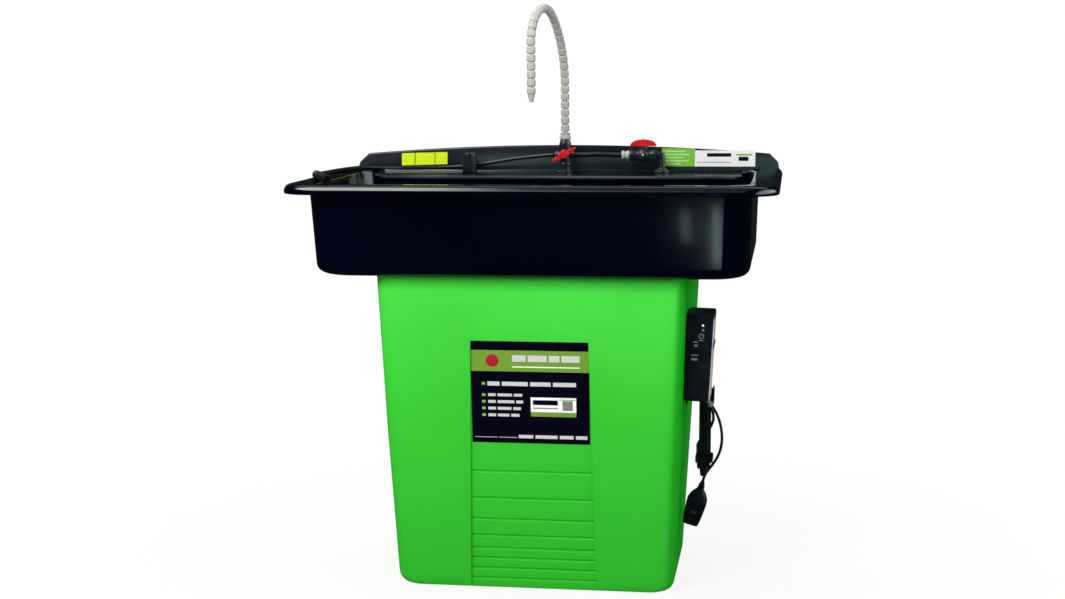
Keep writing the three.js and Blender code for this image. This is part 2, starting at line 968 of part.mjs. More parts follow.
function tank() {
  const high = tankTop - tankFlangeThickness;
  const cavity = cut(
    tankSkin(tankWall, tankWall, high),
    frontSlab(
      recessTopWidth + tankWall * 2,
      recessBottomWidth + tankWall * 2,
      0,
      recessHeight + tankWall,
      recessDepth + tankWall + grooveDepth,
    ),
  );
  const mouth = loft([high - cutOverrun, tankTop + cutOverrun].map((z) => roundedRing(
    -mouthHalf,
    mouthHalf,
    mouthFront,
    mouthBack,
    tankFrontCorner,
    tankFrontCorner,
    z,
  )));
  return cut(
    tankSkin(0, 0, tankTop),
    cavity,
    mouth,
    frontSlab(recessTopWidth, recessBottomWidth, -cutOverrun, recessHeight, recessDepth),
    ...grooveHeights().map(groove),
    throughWall(heaterShank + runningGap * 2, heaterBack, heaterZ),
    throughWall(switchShank + runningGap * 2, switchBack, switchRise),
  );
}

piece('tank', tank(), greenMoulding);

// False floor: a slotted plate with an edge rib, loose on the basin's shelf
const plateHalf = shelfHalf - floorClearance;
const plateFront = shelfFront + floorClearance;
const plateBack = shelfBack - floorClearance;
const plateZ = shelfZ + seatGap;
const plateY = (plateFront + plateBack) / 2;

function falseFloor() {
  const ring = (inset, z) => roundedRing(
    -plateHalf + inset,
    plateHalf - inset,
    plateFront + inset,
    plateBack - inset,
    floorCorner - inset,
    floorCorner - inset,
    z,
  );
  const top = plateZ + floorThickness;
  const body = loft([
    ring(0, plateZ),
    ring(0, top + floorEdgeHeight),
    ring(floorEdgeWidth, top + floorEdgeHeight),
    ring(floorEdgeWidth, top),
  ]);
  const slots = count(floorRows).flatMap((row) => count(floorColumns).map((column) => {
    const x = (column - (floorColumns - 1) / 2) * slotColumnPitch;
    const y = plateY + (row - (floorRows - 1) / 2) * slotRowPitch;
    return plainBox(
      x - slotLength / 2,
      x + slotLength / 2,
      y - slotWidth / 2,
      y + slotWidth / 2,
      plateZ - cutOverrun,
      top + cutOverrun,
    );
  }));
  const holes = [-1, 1].map((sign) => rod(fingerHole, plateZ - cutOverrun, top + cutOverrun, smallSides)
    .translate(sign * slotColumnPitch / 2, plateY, 0));
  return cut(body, ...slots, ...holes);
}

piece('false_floor', falseFloor(), blackPlastic);

// Filter mat on the sump's edge, under the false floor
function filterMat() {
  const low = sumpZ + seatGap;
  const ring = (inset, z) => roundedRing(
    -shelfHalf + shelfWidth + matClearance + inset,
    shelfHalf - shelfWidth - matClearance - inset,
    shelfFront + shelfWidth + matClearance + inset,
    shelfBack - shelfWidth - matClearance - inset,
    matCorner,
    matCorner,
    z,
  );
  return loft([
    ring(matEdge, low),
    ring(0, low + matEdge),
    ring(0, low + matThickness - matEdge),
    ring(matEdge, low + matThickness),
  ]);
}

piece('filter_mat', filterMat(), greyFelt);

// Drain fitting through the sump, with a crossed strainer in its way, and its nut
function drainFitting() {
  const seat = sinkBottom + sumpDrainFloor + seatGap;
  const body = turned([
    [drainWay / 2, sinkBottom - drainTailLength],
    [drainTail / 2, sinkBottom - drainTailLength],
    [drainTail / 2, seat],
    [drainFlange / 2 - lipClearance, seat],
    [drainFlange / 2 - lipClearance, seat + drainFlangeThickness],
    [drainWay / 2, seat + drainFlangeThickness],
  ]);
  const bars = [0, 1].map((k) => plainBox(
    -drainWay / 2 - seatGap,
    drainWay / 2 + seatGap,
    -drainBar / 2,
    drainBar / 2,
    seat,
    seat + drainBar,
  ).rotateZ(k * Math.PI / 2));
  return join(body, ...bars).translate(0, drainY, 0);
}

piece('drain_fitting', drainFitting(), blackPlastic);
piece(
  'drain_nut',
  hexNut(drainNutWidth, drainTail + runningGap * 2, -drainNutHeight - seatGap, -seatGap)
    .translate(0, drainY, sinkBottom),
  blackPlastic,
);

// Submerged pump: a slotted foot, a housing with a volute, an impeller and its shaft
const strainerZ = tankWall + seatGap;
const pumpZ = strainerZ + strainerHeight + seatGap;
const pumpTop = pumpZ + pumpHeight;

function pumpStrainer() {
  const outer = strainerWidth / 2;
  const cup = turned([
    [0, 0],
    [outer, 0],
    [outer, strainerHeight],
    [outer - strainerWall, strainerHeight],
    [outer - strainerWall, strainerWall],
    [0, strainerWall],
  ], strainerSlots * 2);
  const slots = count(strainerSlots).map((i) => plainBox(
    outer - strainerWall * 2,
    outer + strainerWall,
    -strainerSlotWidth / 2,
    strainerSlotWidth / 2,
    (strainerHeight - strainerSlotHeight) / 2,
    (strainerHeight + strainerSlotHeight) / 2,
  ).rotateZ(fullTurn * (i + 1 / 2) / strainerSlots));
  return cut(cup, ...slots).translate(pumpX, pumpY, strainerZ);
}

const outletBarb = insideBore(riserWidth - riserWall * 2);

function pumpHousing() {
  const radius = strainerWidth / 2;
  const body = turned([
    [0, 0],
    [radius, 0],
    [radius, pumpHeight - pumpShoulder],
    [radius - pumpShoulder, pumpHeight],
    [0, pumpHeight],
  ], strainerSlots * 2);
  const stub = turned([
    [0, pumpHeight - pumpShoulder],
    [outletCollar / 2, pumpHeight - pumpShoulder],
    [outletCollar / 2, pumpHeight + outletCollarHeight],
    [outletBarb / 2, pumpHeight + outletCollarHeight],
    [outletBarb / 2, pumpHeight + outletHeight],
    [0, pumpHeight + outletHeight],
  ], smallSides).translate(outletOffset, 0, 0);
  return cut(
    join(body, stub),
    rod(voluteWidth, -cutOverrun, voluteDepth),
    rod(shaftWidth + runningGap * 2, voluteDepth - cutOverrun, voluteDepth + shaftLength),
    rod(outletBarb / 2, voluteDepth - cutOverrun, pumpHeight + outletHeight + cutOverrun, smallSides)
      .translate(outletOffset, 0, 0),
  ).translate(pumpX, pumpY, pumpZ);
}

const impellerZ = pumpZ + (voluteDepth - impellerHeight) / 2;

function pumpImpeller() {
  const bore = shaftWidth / 2 + seatGap;
  const disc = turned([
    [bore, impellerHeight - impellerDisc],
    [impellerWidth / 2, impellerHeight - impellerDisc],
    [impellerWidth / 2, impellerHeight],
    [bore, impellerHeight],
  ]);
  const hub = pipe(shaftWidth * 2, bore * 2, 0, impellerHeight, smallSides);
  const blades = count(impellerBlades).map((i) => plainBox(
    shaftWidth - seatGap,
    impellerWidth / 2 - seatGap,
    -impellerBladeThickness / 2,
    impellerBladeThickness / 2,
    0,
    impellerHeight - impellerDisc + seatGap,
  ).rotateZ(fullTurn * i / impellerBlades));
  return join(disc, hub, ...blades).translate(pumpX, pumpY, impellerZ);
}

piece('pump_strainer', pumpStrainer(), blackPlastic);
piece('pump_housing', pumpHousing(), blueSteel);
piece('pump_impeller', pumpImpeller(), greyPlastic);
piece(
  'pump_shaft',
  rod(shaftWidth, impellerZ - seatGap, pumpZ + voluteDepth + shaftLength - seatGap, smallSides)
    .translate(pumpX, pumpY, 0),
  steel,
);

// Riser hose over the pump's outlet and up into the elbow's tail
const elbowTailZ = ledgeHeight - elbowTailLength;
const outletSeat = pumpTop + outletCollarHeight + seatGap;

piece('riser_hose', tube([
  spot(pumpX + outletOffset, pumpY, outletSeat),
  ...riserShares.map(([x, y, z]) => spot(
    mix(pumpX + outletOffset, elbowX, x),
    mix(pumpY, lineY, y),
    mix(outletSeat, elbowTailZ, z),
  )),
  spot(elbowX, lineY, elbowTailZ + barbLength),
], riserWidth, hoseSides, riserSteps, riserWidth - riserWall * 2), blackRubber);

// Elbow that carries the pump's flow through the ledge to the ball valve
const valveRight = elbowX - elbowReach;
const valveLeft = valveRight - valveLength;
const valveX = (valveLeft + valveRight) / 2;

function bulkheadElbow() {
  const low = ledgeHeight + seatGap;
  const upright = turned([
    [0, elbowTailZ],
    [outletBarb / 2, elbowTailZ],
    [outletBarb / 2, elbowTailZ + barbLength + seatGap],
    [elbowShank / 2, elbowTailZ + barbLength + seatGap],
    [elbowShank / 2, low],
    [elbowFlange / 2, low],
    [elbowFlange / 2, low + elbowFlangeHeight / 2],
    [elbowWidth / 2, low + elbowFlangeHeight],
    [elbowWidth / 2, lineZ],
    [0, lineZ],
  ]).translate(elbowX, 0, 0);
  const corner = new THREE.SphereGeometry(elbowWidth / 2, roundSides, smallSides - 2)
    .rotateX(Math.PI / 2)
    .translate(elbowX, 0, lineZ);
  const level = alongX(rod(elbowWidth, valveRight - elbowX + seatGap, 0)).translate(elbowX, 0, lineZ);
  const thread = alongX(rod(threadWidth, valveRight - elbowX - threadLength, 0))
    .translate(elbowX, 0, lineZ);
  return cut(
    join(upright, corner, level, thread),
    rod(elbowBore, elbowTailZ - cutOverrun, lineZ + elbowBore / 2, smallSides).translate(elbowX, 0, 0),
    alongX(rod(elbowBore, valveRight - elbowX - threadLength - cutOverrun, 0, smallSides))
      .translate(elbowX, 0, lineZ),
  ).translate(0, lineY, 0);
}

const ledgeUnder = ledgeHeight - sinkWall - seatGap;
const ledgeNut = (x, across, shank) => hexNut(
  across,
  shank + runningGap * 2,
  ledgeUnder - ledgeNutHeight,
  ledgeUnder,
).translate(x, lineY, 0);

piece('bulkhead_elbow', bulkheadElbow(), blackPlastic);
piece('bulkhead_nut', ledgeNut(elbowX, ledgeNutWidth, elbowShank), blackPlastic);

// Ball valve: body, bored ball with its stem, red tee handle
function valveBody() {
  const half = valveLength / 2;
  const end = valveEndWidth / 2;
  const bulge = valveBulgeWidth / 2;
  const outline = [
    [0, -half],
    [end, -half],
    [end, -half + valveCollar],
    [valveNeckWidth / 2, -half + valveCollar],
    [valveNeckWidth / 2, -valveBulgeLength / 2],
    [bulge, -valveBulgeLength / 4],
    [bulge, valveBulgeLength / 4],
    [valveNeckWidth / 2, valveBulgeLength / 2],
    [valveNeckWidth / 2, half - valveCollar],
    [end, half - valveCollar],
    [end, half],
    [0, half],
  ];
  const boss = rod(valveBoss, 0, bulge + valveBossHeight);
  const socket = (ballWidth / 2 + runningGap) / Math.cos(Math.PI / smallSides) ** 2;
  const seat = new THREE.SphereGeometry(socket, smallSides, smallSides - 2).rotateX(Math.PI / 2);
  return cut(
    join(alongX(turned(outline)), boss),
    seat,
    alongX(rod(threadWidth + runningGap * 2, -half - cutOverrun, -half + threadLength + seatGap)),
    alongX(rod(threadWidth + runningGap * 2, half - threadLength - seatGap, half + cutOverrun)),
    alongX(rod(ballBore, -half, half)),
    rod(stemWidth + runningGap * 2, 0, bulge + valveBossHeight + cutOverrun),
  ).translate(valveX, lineY, lineZ);
}

const bossTop = valveBulgeWidth / 2 + valveBossHeight;

function valveBall() {
  const ball = new THREE.SphereGeometry(ballWidth / 2, smallSides * 1.5, smallSides).rotateX(Math.PI / 2);
  const stem = rod(stemWidth, 0, bossTop + handleHubHeight, smallSides);
  const bored = cut(ball, alongX(rod(ballBore, -ballWidth, ballWidth, smallSides)));
  const shortStem = cut(stem, rod(stemWidth * 2, -cutOverrun, ballBore / 2 + seatGap));
  return join(bored, shortStem).translate(valveX, lineY, lineZ);
}

function valveHandle() {
  const half = handleLength / 2;
  const low = bossTop + seatGap;
  const outline = new THREE.Shape([
    [-half, 0],
    [half, 0],
    [half * handleShoulderShare, handleHeight * handleShoulderRiseShare],
    [half * handleTopShare, handleHeight],
    [-half * handleTopShare, handleHeight],
    [-half * handleShoulderShare, handleHeight * handleShoulderRiseShare],
  ].map(([x, z]) => new THREE.Vector2(x, z)));
  const bevel = handleThickness / 8;
  const grip = new THREE.ExtrudeGeometry(outline, {
    depth: handleThickness - bevel * 2,
    bevelThickness: bevel,
    bevelSize: bevel,
    bevelOffset: -bevel,
    bevelSegments: 2,
  }).rotateX(Math.PI / 2).translate(0, handleThickness / 2 - bevel, 0);
  const hub = rod(handleHub, 0, handleHubHeight);
  const ribs = [-1, 1].map((sign) => plainBox(
    sign * handleRibSpacing / 2 - handleRib / 2,
    sign * handleRibSpacing / 2 + handleRib / 2,
    -handleThickness / 2 - handleRibDepth,
    handleThickness / 2 + handleRibDepth,
    handleHubHeight / 2,
    handleHeight - bevel,
  ));
  return cut(
    join(grip, hub, ...ribs),
    rod(stemWidth + seatGap * 2, -cutOverrun, handleHubHeight + seatGap * 2),
  ).translate(valveX, lineY, lineZ + low);
}

function handleScrew() {
  const seat = lineZ + bossTop + seatGap + handleHeight + seatGap;
  return turned([
    [0, seat],
    [screwHead / 2, seat],
    [screwHead / 2, seat + screwHeadHeight / 2],
    [screwHead / 3, seat + screwHeadHeight],
    [0, seat + screwHeadHeight],
  ], smallSides).translate(valveX, lineY, 0);
}

piece('ball_valve_body', valveBody(), blackPlastic);
piece('valve_ball', valveBall(), greyPlastic);
piece('valve_handle', valveHandle(), redPlastic);
piece('handle_screw', handleScrew(), steel);

// Hose nipple, and the supply hose to the faucet post
const supplyBarb = insideBore(supplyBore);
const nippleLeft = valveLeft - nippleLength - seatGap;

function hoseNipple() {
  const half = nippleWidth / 2;
  const outline = [
    [0, -barbLength],
    [supplyBarb / 2, -barbLength],
    [supplyBarb / 2, 0],
    [half, 0],
    [half, nippleRing],
    [nippleNeck / 2, nippleRing * nippleRampShare],
    [nippleNeck / 2, nippleLength - nippleRing * nippleRampShare],
    [half, nippleLength - nippleRing],
    [half, nippleLength],
    [threadWidth / 2, nippleLength],
    [threadWidth / 2, nippleLength + threadLength],
    [0, nippleLength + threadLength],
  ];
  return cut(
    alongX(turned(outline, roundSides)),
    alongX(rod(supplyBore / 2, -barbLength * 2, nippleLength * 2, smallSides)),
  ).translate(nippleLeft, lineY, lineZ);
}

piece('hose_nipple', hoseNipple(), greyPlastic);

const portRight = faucetX + portReach;
piece('supply_hose', tube([
  spot(portRight + seatGap, lineY, lineZ),
  ...supplyShares.map(([x, z]) => spot(mix(portRight, nippleLeft, x), lineY, lineZ + supplyArch * z)),
  spot(nippleLeft - seatGap, lineY, lineZ),
], supplyWidth, hoseSides, supplySteps, supplyBore), blackRubber);

// Faucet post: a tee with a port on each side, a way up to the gooseneck and a bore for the plug
const diverterZ = ledgeHeight + diverterHeight;
const postTop = ledgeHeight + postTopHeight;

function faucetPost() {
  const low = ledgeHeight + seatGap;
  const outline = [
    [0, ledgeUnder - postShankLength + sinkWall],
    [postShank / 2, ledgeUnder - postShankLength + sinkWall],
    [postShank / 2, low],
    [postFootWidth / 2, low],
    [postFootWidth / 2, low + postFootHeight / 2],
    [postWidth / 2, low + postFootHeight],
    [postWidth / 2, ledgeHeight + postRingHeight - postRingThickness],
    [postRingWidth / 2, ledgeHeight + postRingHeight - postRingThickness / 2],
    [postRingWidth / 2, ledgeHeight + postRingHeight + postRingThickness / 2],
    [postWidth / 2, ledgeHeight + postRingHeight + postRingThickness],
    [postShoulderWidth / 2, ledgeHeight + postShoulderHeight],
    [postTopWidth / 2, postTop],
    [0, postTop],
  ];
  const ports = alongX(rod(portWidth, -portReach, portReach)).translate(0, 0, lineZ);
  const barbs = alongX(rod(supplyBarb, 0, portReach + barbLength, smallSides)).translate(0, 0, lineZ);
  return cut(
    join(turned(outline), ports, barbs),
    rod(postWay, lineZ, postTop + cutOverrun, smallSides),
    alongX(rod(portWay / 2, -portReach * 2, portReach * 2, smallSides)).translate(0, 0, lineZ),
    alongY(rod(diverterCore + runningGap * 2, -postWidth, diverterCoreDepth / 2 + runningGap))
      .translate(0, 0, diverterZ),
  ).translate(faucetX, lineY, 0);
}

piece('faucet_post', faucetPost(), blackPlastic);
piece('faucet_nut', ledgeNut(faucetX, ledgeNutWidth, postShank), brass);

// Diverter: a plug in the post and a red wing in front of it, turned together
const diverter = new THREE.Group();
diverter.position.set(faucetX, lineY, diverterZ);
diverter.rotation.y = -diverterTilt * degree;
washer.add(diverter);

const wingBack = -Math.max(postShoulderWidth, postRingWidth) / 2 - seatGap * 2;

function diverterPlug() {
  return cut(
    alongY(rod(diverterCore, wingBack + seatGap, diverterCoreDepth / 2)),
    rod(postWay, 0, postWidth, smallSides),
    alongX(rod(portWay, 0, postWidth, smallSides)),
  );
}

function diverterWing() {
  const hub = alongY(rod(wingHub, wingBack - wingHubDepth, wingBack));
  const half = wingLength / 2;
  const outline = new THREE.Shape([
    [-half, -wingTipWidth / 4],
    [-half * wingRootShare, -wingRootWidth / 2],
    [half * wingRootShare, -wingRootWidth / 2],
    [half, -wingTipWidth / 2],
    [half, wingTipWidth / 4],
    [half * wingRootShare, wingRootWidth / 2],
    [-half * wingRootShare, wingRootWidth / 2],
    [-half, wingTipWidth / 2],
  ].map(([x, z]) => new THREE.Vector2(x, z)));
  const blade = new THREE.ExtrudeGeometry(outline, {
    depth: wingThickness / 2,
    bevelThickness: wingThickness / 4,
    bevelSize: wingThickness / 4,
    bevelOffset: -wingThickness / 4,
    bevelSegments: 1,
  }).rotateX(Math.PI / 2).translate(0, wingBack - wingSetback, 0);
  return join(hub, blade);
}

piece('diverter_plug', diverterPlug(), blackPlastic, diverter);
piece('diverter_wing', diverterWing(), redPlastic, diverter);

// Modular hose. Heights in a link are measured from the middle of its socket along the hose, and
// each ring of its outline is a pair of radius and height.
const ballAt = (height) => [Math.sqrt((linkBall / 2) ** 2 - height ** 2), linkPitch + height];
const socketAt = (height) => [Math.sqrt((linkSocket / 2) ** 2 - height ** 2), height];

// An open socket that turns on the ball before it, from the bore out to the rim
const openSocket = [
  [linkBore / 2, Math.sqrt((linkSocket / 2) ** 2 - (linkBore / 2) ** 2)],
  socketAt(linkBallCut),
  socketAt(linkBallCut / 4),
  socketAt(-linkSeat),
];

// A link snapped tight for good shares its material with that ball from the seat inwards
const tightSeat = [socketAt(-linkSeat)];

const linkBarrel = [
  [linkRimWidth / 2, -linkRimDrop],
  [linkWidth / 2, linkBarrelStart],
  [linkShoulderWidth / 2, linkBarrelEnd],
  [linkNeckWidth / 2, linkNeck],
];

const linkTip = [
  ballAt(-linkBall / 6),
  ballAt(linkBall / 6),
  ballAt(linkBallCut),
  [linkBore / 2, linkPitch + linkBallCut],
];

const hoseStart = spot(faucetX, lineY, postTop + seatGap + connectorHeight + linkRimDrop);

// The bend at each ball, from the post to the nozzle: straight, leaning, round the crown, straight
const hoseBends = [
  ...count(straightLinks).map(() => 0),
  ...count(leanLinks).map(() => leanAngle / leanLinks),
  ...count(crownLinks).map(() => crownAngle / crownLinks),
  ...count(dropLinks).map(() => 0),
];

// One matrix for each link, and one past the end for the nozzle
function hosePlaces() {
  const azimuth = new THREE.Matrix4().makeRotationZ(-hoseAzimuth * degree);
  const places = [];
  const at = hoseStart.clone();
  let angle = 0;
  [...hoseBends, 0].forEach((bend) => {
    angle += bend;
    const frame = azimuth.clone().multiply(new THREE.Matrix4().makeRotationX(angle * degree));
    frame.setPosition(at);
    places.push(frame);
    at.add(spot(0, 0, linkPitch).applyMatrix4(new THREE.Matrix4().extractRotation(frame)));
  });
  return places;
}

const places = hosePlaces();

const linkRing = ([radius, height], frame) => count(linkSides).map((i) => {
  const angle = fullTurn * i / linkSides;
  return spot(radius * Math.cos(angle), radius * Math.sin(angle), height).applyMatrix4(frame);
});

// A stretch of links as one bored body: its rings run along the outside and back down the bore
function hoseStretch(frames) {
  const outside = frames.flatMap((frame, i) => [
    ...(i === 0 ? openSocket : tightSeat),
    ...linkBarrel,
    ...(i === frames.length - 1 ? linkTip : []),
  ].map((ring) => linkRing(ring, frame)));
  const bore = frames.slice(1).map((frame) => linkRing([linkBore / 2, 0], frame)).reverse();
  return loft([...outside, ...bore], null);
}

function hoseConnector() {
  const base = -(connectorHeight + linkRimDrop);
  const ring = connectorHeight / 3;
  const step = ring / 8;
  return turned([
    [linkBore / 2, base],
    [connectorWidth / 2, base],
    [connectorWidth / 2, base + ring],
    [connectorNeck / 2, base + ring + step],
    [connectorNeck / 2, base + ring * 2],
    [connectorBulge / 2, base + ring * 2 + step],
    [connectorBulge / 2, linkNeck - linkPitch - step],
    [linkNeckWidth / 2, linkNeck - linkPitch],
    ...linkTip.map(([radius, height]) => [radius, height - linkPitch]),
  ], linkSides).translate(hoseStart.x, hoseStart.y, hoseStart.z);
}

function hoseNozzle() {
  return turned([
    ...openSocket,
    [linkRimWidth / 2, -linkRimDrop],
    [linkWidth / 2, linkBarrelStart],
    [linkWidth / 2, nozzleSkirt],
    [nozzleShoulderWidth / 2, nozzleShoulder],
    [nozzleTip / 2, nozzleLength],
    [nozzleTip / 4, nozzleLength],
  ], linkSides);
}

piece('hose_connector', hoseConnector(), greyPlastic);
hoseGroupStarts.forEach((start, i) => {
  const end = hoseGroupStarts[i + 1] ?? hoseBends.length;
  piece(`hose_links_${i + 1}`, hoseStretch(places.slice(start, end)), greyPlastic);
});
piece('hose_nozzle', hoseNozzle().applyMatrix4(places.at(-1)), greyPlastic);

// Ribbed guide post with a screwed shank
function guidePost() {
  const radius = guideWidth / 2;
  const ring = (inset, z) => count(guideRibs * 2).map((i) => {
    const reach = radius - inset - (i % 2 ? guideRibDepth : 0);
    const angle = fullTurn * i / (guideRibs * 2);
    return spot(reach * Math.cos(angle), reach * Math.sin(angle), z);
  });
  const body = loft([
    ring(0, seatGap),
    ring(0, guideHeight - guideCapHeight),
    ring(guideCapInset / 3, guideHeight - guideCapHeight / 3),
    ring(guideCapInset, guideHeight),
  ]);
  const dish = turned([
    [0, guideHeight - guideCapInset],
    [radius - guideCapInset * 3, guideHeight - guideCapInset],
    [radius - guideCapInset * 2, guideHeight + cutOverrun],
    [0, guideHeight + cutOverrun],
  ], guideRibs);
  const shank = rod(guideShank, -sinkWall - ledgeNutHeight * 2, seatGap * 2, smallSides);
  return join(cut(body, dish), shank).translate(guideX, lineY, ledgeHeight);
}

piece('hose_guide_post', guidePost(), blackPlastic);
piece('guide_nut', ledgeNut(guideX, guideShank * 2, guideShank), brass);

// Flow-through brush, built along its own Z from the hose end to the bristle tips
const brush = new THREE.Group();
brush.position.set(brushRearX, brushRearY, rimHeight + brushWidth / 2 + seatGap);
brush.lookAt(brushFrontX, brushFrontY, rimHeight + brushWidth / 2 + seatGap);
washer.add(brush);

function brushHandle() {
  const grip = brushGripWidth / 2;
  const ringStart = brushNeckLength + brushRingPitch;
  const rings = count(brushRings).flatMap((i) => {
    const z = ringStart + i * brushRingPitch;
    return [
      [grip, z],
      [grip - brushRingDepth, z + brushRingPitch / 4],
      [grip - brushRingDepth, z + brushRingPitch / 2],
      [grip, z + brushRingPitch * 3 / 4],
    ];
  });
  return turned([
    [0, 0],
    [brushNeckWidth / 2, 0],
    [brushNeckWidth / 2, brushNeckLength / 2],
    [grip, brushNeckLength],
    ...rings,
    [grip, brushHandleLength],
    [0, brushHandleLength],
  ], roundSides);
}

const ferruleZ = brushHandleLength + seatGap;
const sliceZ = ferruleZ + ferruleLength + seatGap;

function brushFerrule() {
  const outer = brushWidth / 2;
  return turned([
    [0, ferruleZ],
    [outer, ferruleZ],
    [outer, ferruleZ + ferruleCollar],
    [brushGripWidth / 2, ferruleZ + ferruleCollar * 2],
    [brushGripWidth / 2, ferruleZ + ferruleLength - ferruleCollar],
    [outer, ferruleZ + ferruleLength],
    [0, ferruleZ + ferruleLength],
  ], roundSides);
}

// Bristles: three-sided tapering strands in rings, each standing in the slice that backs them
function brushBristles() {
  const slice = rod(brushGripWidth, sliceZ, sliceZ + bristleSlice, smallSides);
  const strands = count(bristleRings).flatMap((ring) => {
    const radius = bristleTuftWidth / 2 * (ring + 1 / 2) / bristleRings;
    const around = Math.round(ring * 6) + 3;
    return count(around).map((i) => {
      const angle = fullTurn * (i + ring / 3) / around;
      return new THREE.ConeGeometry(bristleWidth / 2, bristleLength + seatGap, 3)
        .rotateX(Math.PI / 2)
        .rotateZ(angle)
        .translate(
          radius * Math.cos(angle),
          radius * Math.sin(angle),
          sliceZ + bristleSlice + (bristleLength - seatGap) / 2,
        );
    });
  });
  const solids = [slice, ...strands].map(toSolid);
  return toGeometry(wasm.Manifold.union(solids));
}

piece('brush_handle', brushHandle(), blackPlastic, brush);
piece('brush_ferrule', brushFerrule(), blackPlastic, brush);
piece('brush_bristles', brushBristles(), blackRubber, brush);

// Brush hose: from the faucet post's left port, behind the guide post and round the rim's corner
const brushHoseStart = spot(faucetX - portReach - seatGap, lineY, rimHeight);
const brushHoseEnd = spot(
  brushRearX - brushHoseOffset[0],
  brushRearY + brushHoseOffset[1],
  rimHeight,
);
// Each stop: its share of the way left, its share of the way forward and its height over the rim
const brushHoseRoute = [
  [0, 0, 36],
  [0.0206, 0, 36],
  [0.0715, -0.0036, 33.5],
  [0.1471, -0.0126, 29],
  [0.235, -0.0252, 22.5],
  [0.3405, -0.0415, 12.5],
  [0.4495, -0.0523, 3],
  [0.5603, -0.0523, -2],
  [0.6833, -0.0361, -4],
  [0.7976, 0.0108, -3.2],
  [0.8855, 0.0865, 0.5],
  [0.9505, 0.1947, 5.5],
  [0.9962, 0.339, 6.4],
  [1.0226, 0.476, 6.2],
  [1.0349, 0.6203, 6.4],
  [1.0349, 0.7573, 7.6],
  [1.0296, 0.8655, 10],
  [1.0182, 0.943, 13],
  [1.0084, 0.9802, 13.6],
  [1, 1, 13.6],
];
const brushHoseSpot = ([left, forward, height]) => spot(
  mix(brushHoseStart.x, brushHoseEnd.x, left),
  mix(brushHoseStart.y, brushHoseEnd.y, forward),
  rimHeight + height,
);
piece('brush_hose', tube(
  brushHoseRoute.map(brushHoseSpot),
  brushHoseWidth,
  hoseSides,
  brushHoseSteps,
), blackRubber);

// Control box with its cap, light side panel and band, its gland and the cord's peg
const boxX = seatGap;
const boxRight = boxX + boxWidth;
const boxFront = -boxDepth / 2;
const boxBack = boxDepth / 2;
const boxLow = -boxHeight / 2;
const boxHigh = boxHeight / 2;

// The box narrows towards its foot on the side away from the tank
const boxFace = (z) => boxRight - boxTaper * (boxHigh - z) / boxHeight;

function controlBox() {
  const ring = (inset, z) => roundedRing(
    boxX + inset,
    boxFace(z) - inset,
    boxFront + inset,
    boxBack - inset,
    boxEdge,
    boxEdge,
    z,
    2,
  );
  const shell = loft([ring(boxEdge / 4, boxLow), ring(0, boxLow + boxEdge / 4), ring(0, boxHigh)]);
  return cut(shell, loft([ring(boxWall, boxLow + boxWall), ring(boxWall, boxHigh + cutOverrun)]));
}

function controlCap() {
  const low = boxHigh + seatGap;
  const rings = count(capSteps + 1).map((i) => {
    const angle = i / capSteps * Math.PI / 2;
    const inset = capInset * (1 - Math.cos(angle)) ** 2;
    return roundedRing(
      boxX + inset,
      boxRight + panelThickness - inset / 2,
      boxFront + inset / 2,
      boxBack - inset / 2,
      boxEdge,
      boxEdge,
      low + capHeight * Math.sin(angle),
      2,
    );
  });
  return loft(rings);
}

// A plate that lies on the box's outer face between two heights
const faceSheet = (offset, thickness, low, high) => loft([low, high].map((z) => roundedRing(
  boxFace(z) + offset,
  boxFace(z) + offset + thickness,
  boxFront + panelMargin,
  boxBack - panelMargin,
  thickness / 4,
  thickness / 4,
  z,
  1,
)));

const sidePanel = faceSheet(seatGap, panelThickness, boxLow + panelMargin, boxHigh - seatGap);
const panelBand = faceSheet(
  seatGap * 2 + panelThickness,
  bandThickness,
  bandPlace,
  bandPlace + bandHeight,
);

// Peg behind the box that the cord's hank hangs on: a foot on the tank's wall, a drum and a rim
const pegWidth = (hankRadius * Math.cos(Math.PI / 2 / hankBendSteps) - cordWidth / 2 - seatGap) * 2;
const pegPlace = spot(hankX, hankY, hankTop).applyMatrix4(side.matrixWorld.clone().invert());
const pegEnd = pegPlace.x + (hankTurns / 2) * hankPitch + cordWidth / 2 + pegRimThickness / 2;

function cordPeg() {
  return alongX(turned([
    [0, seatGap],
    [pegFootWidth / 2, seatGap],
    [pegFootWidth / 2, seatGap + pegFootThickness],
    [pegWidth / 2, seatGap + pegFootThickness],
    [pegWidth / 2, pegEnd],
    [pegRimWidth / 2, pegEnd],
    [pegRimWidth / 2, pegEnd + pegRimThickness],
    [0, pegEnd + pegRimThickness],
  ])).translate(0, pegPlace.y, pegPlace.z);
}

// Strain relief under the box's back corner, leaning out
const glandX = boxFace(boxLow) - glandInset;
const glandY = boxBack - glandInset;

function cordGland() {
  const top = boxLow - seatGap;
  const collar = rod(glandCollar, top - glandCollarHeight, top, roundSides);
  const sleeve = turned([
    [0, 0],
    [glandWidth / 2, 0],
    [glandWidth / 2, -glandLength / 4],
    [glandTip / 2, -glandLength],
    [0, -glandLength],
  ]).rotateY(-glandTilt * degree).translate(0, 0, top - glandCollarHeight / 2);
  return join(collar, sleeve).translate(glandX, glandY, 0);
}

piece('control_box', controlBox(), blackPlastic, side);
piece('control_cap', controlCap(), blackPlastic, side);
piece('control_side_panel', sidePanel, steel, side);
piece('panel_band', panelBand, blackPlastic, side);
piece('cord_peg', cordPeg(), blackPlastic, side);
piece('cord_gland', cordGland(), greyPlastic, side);

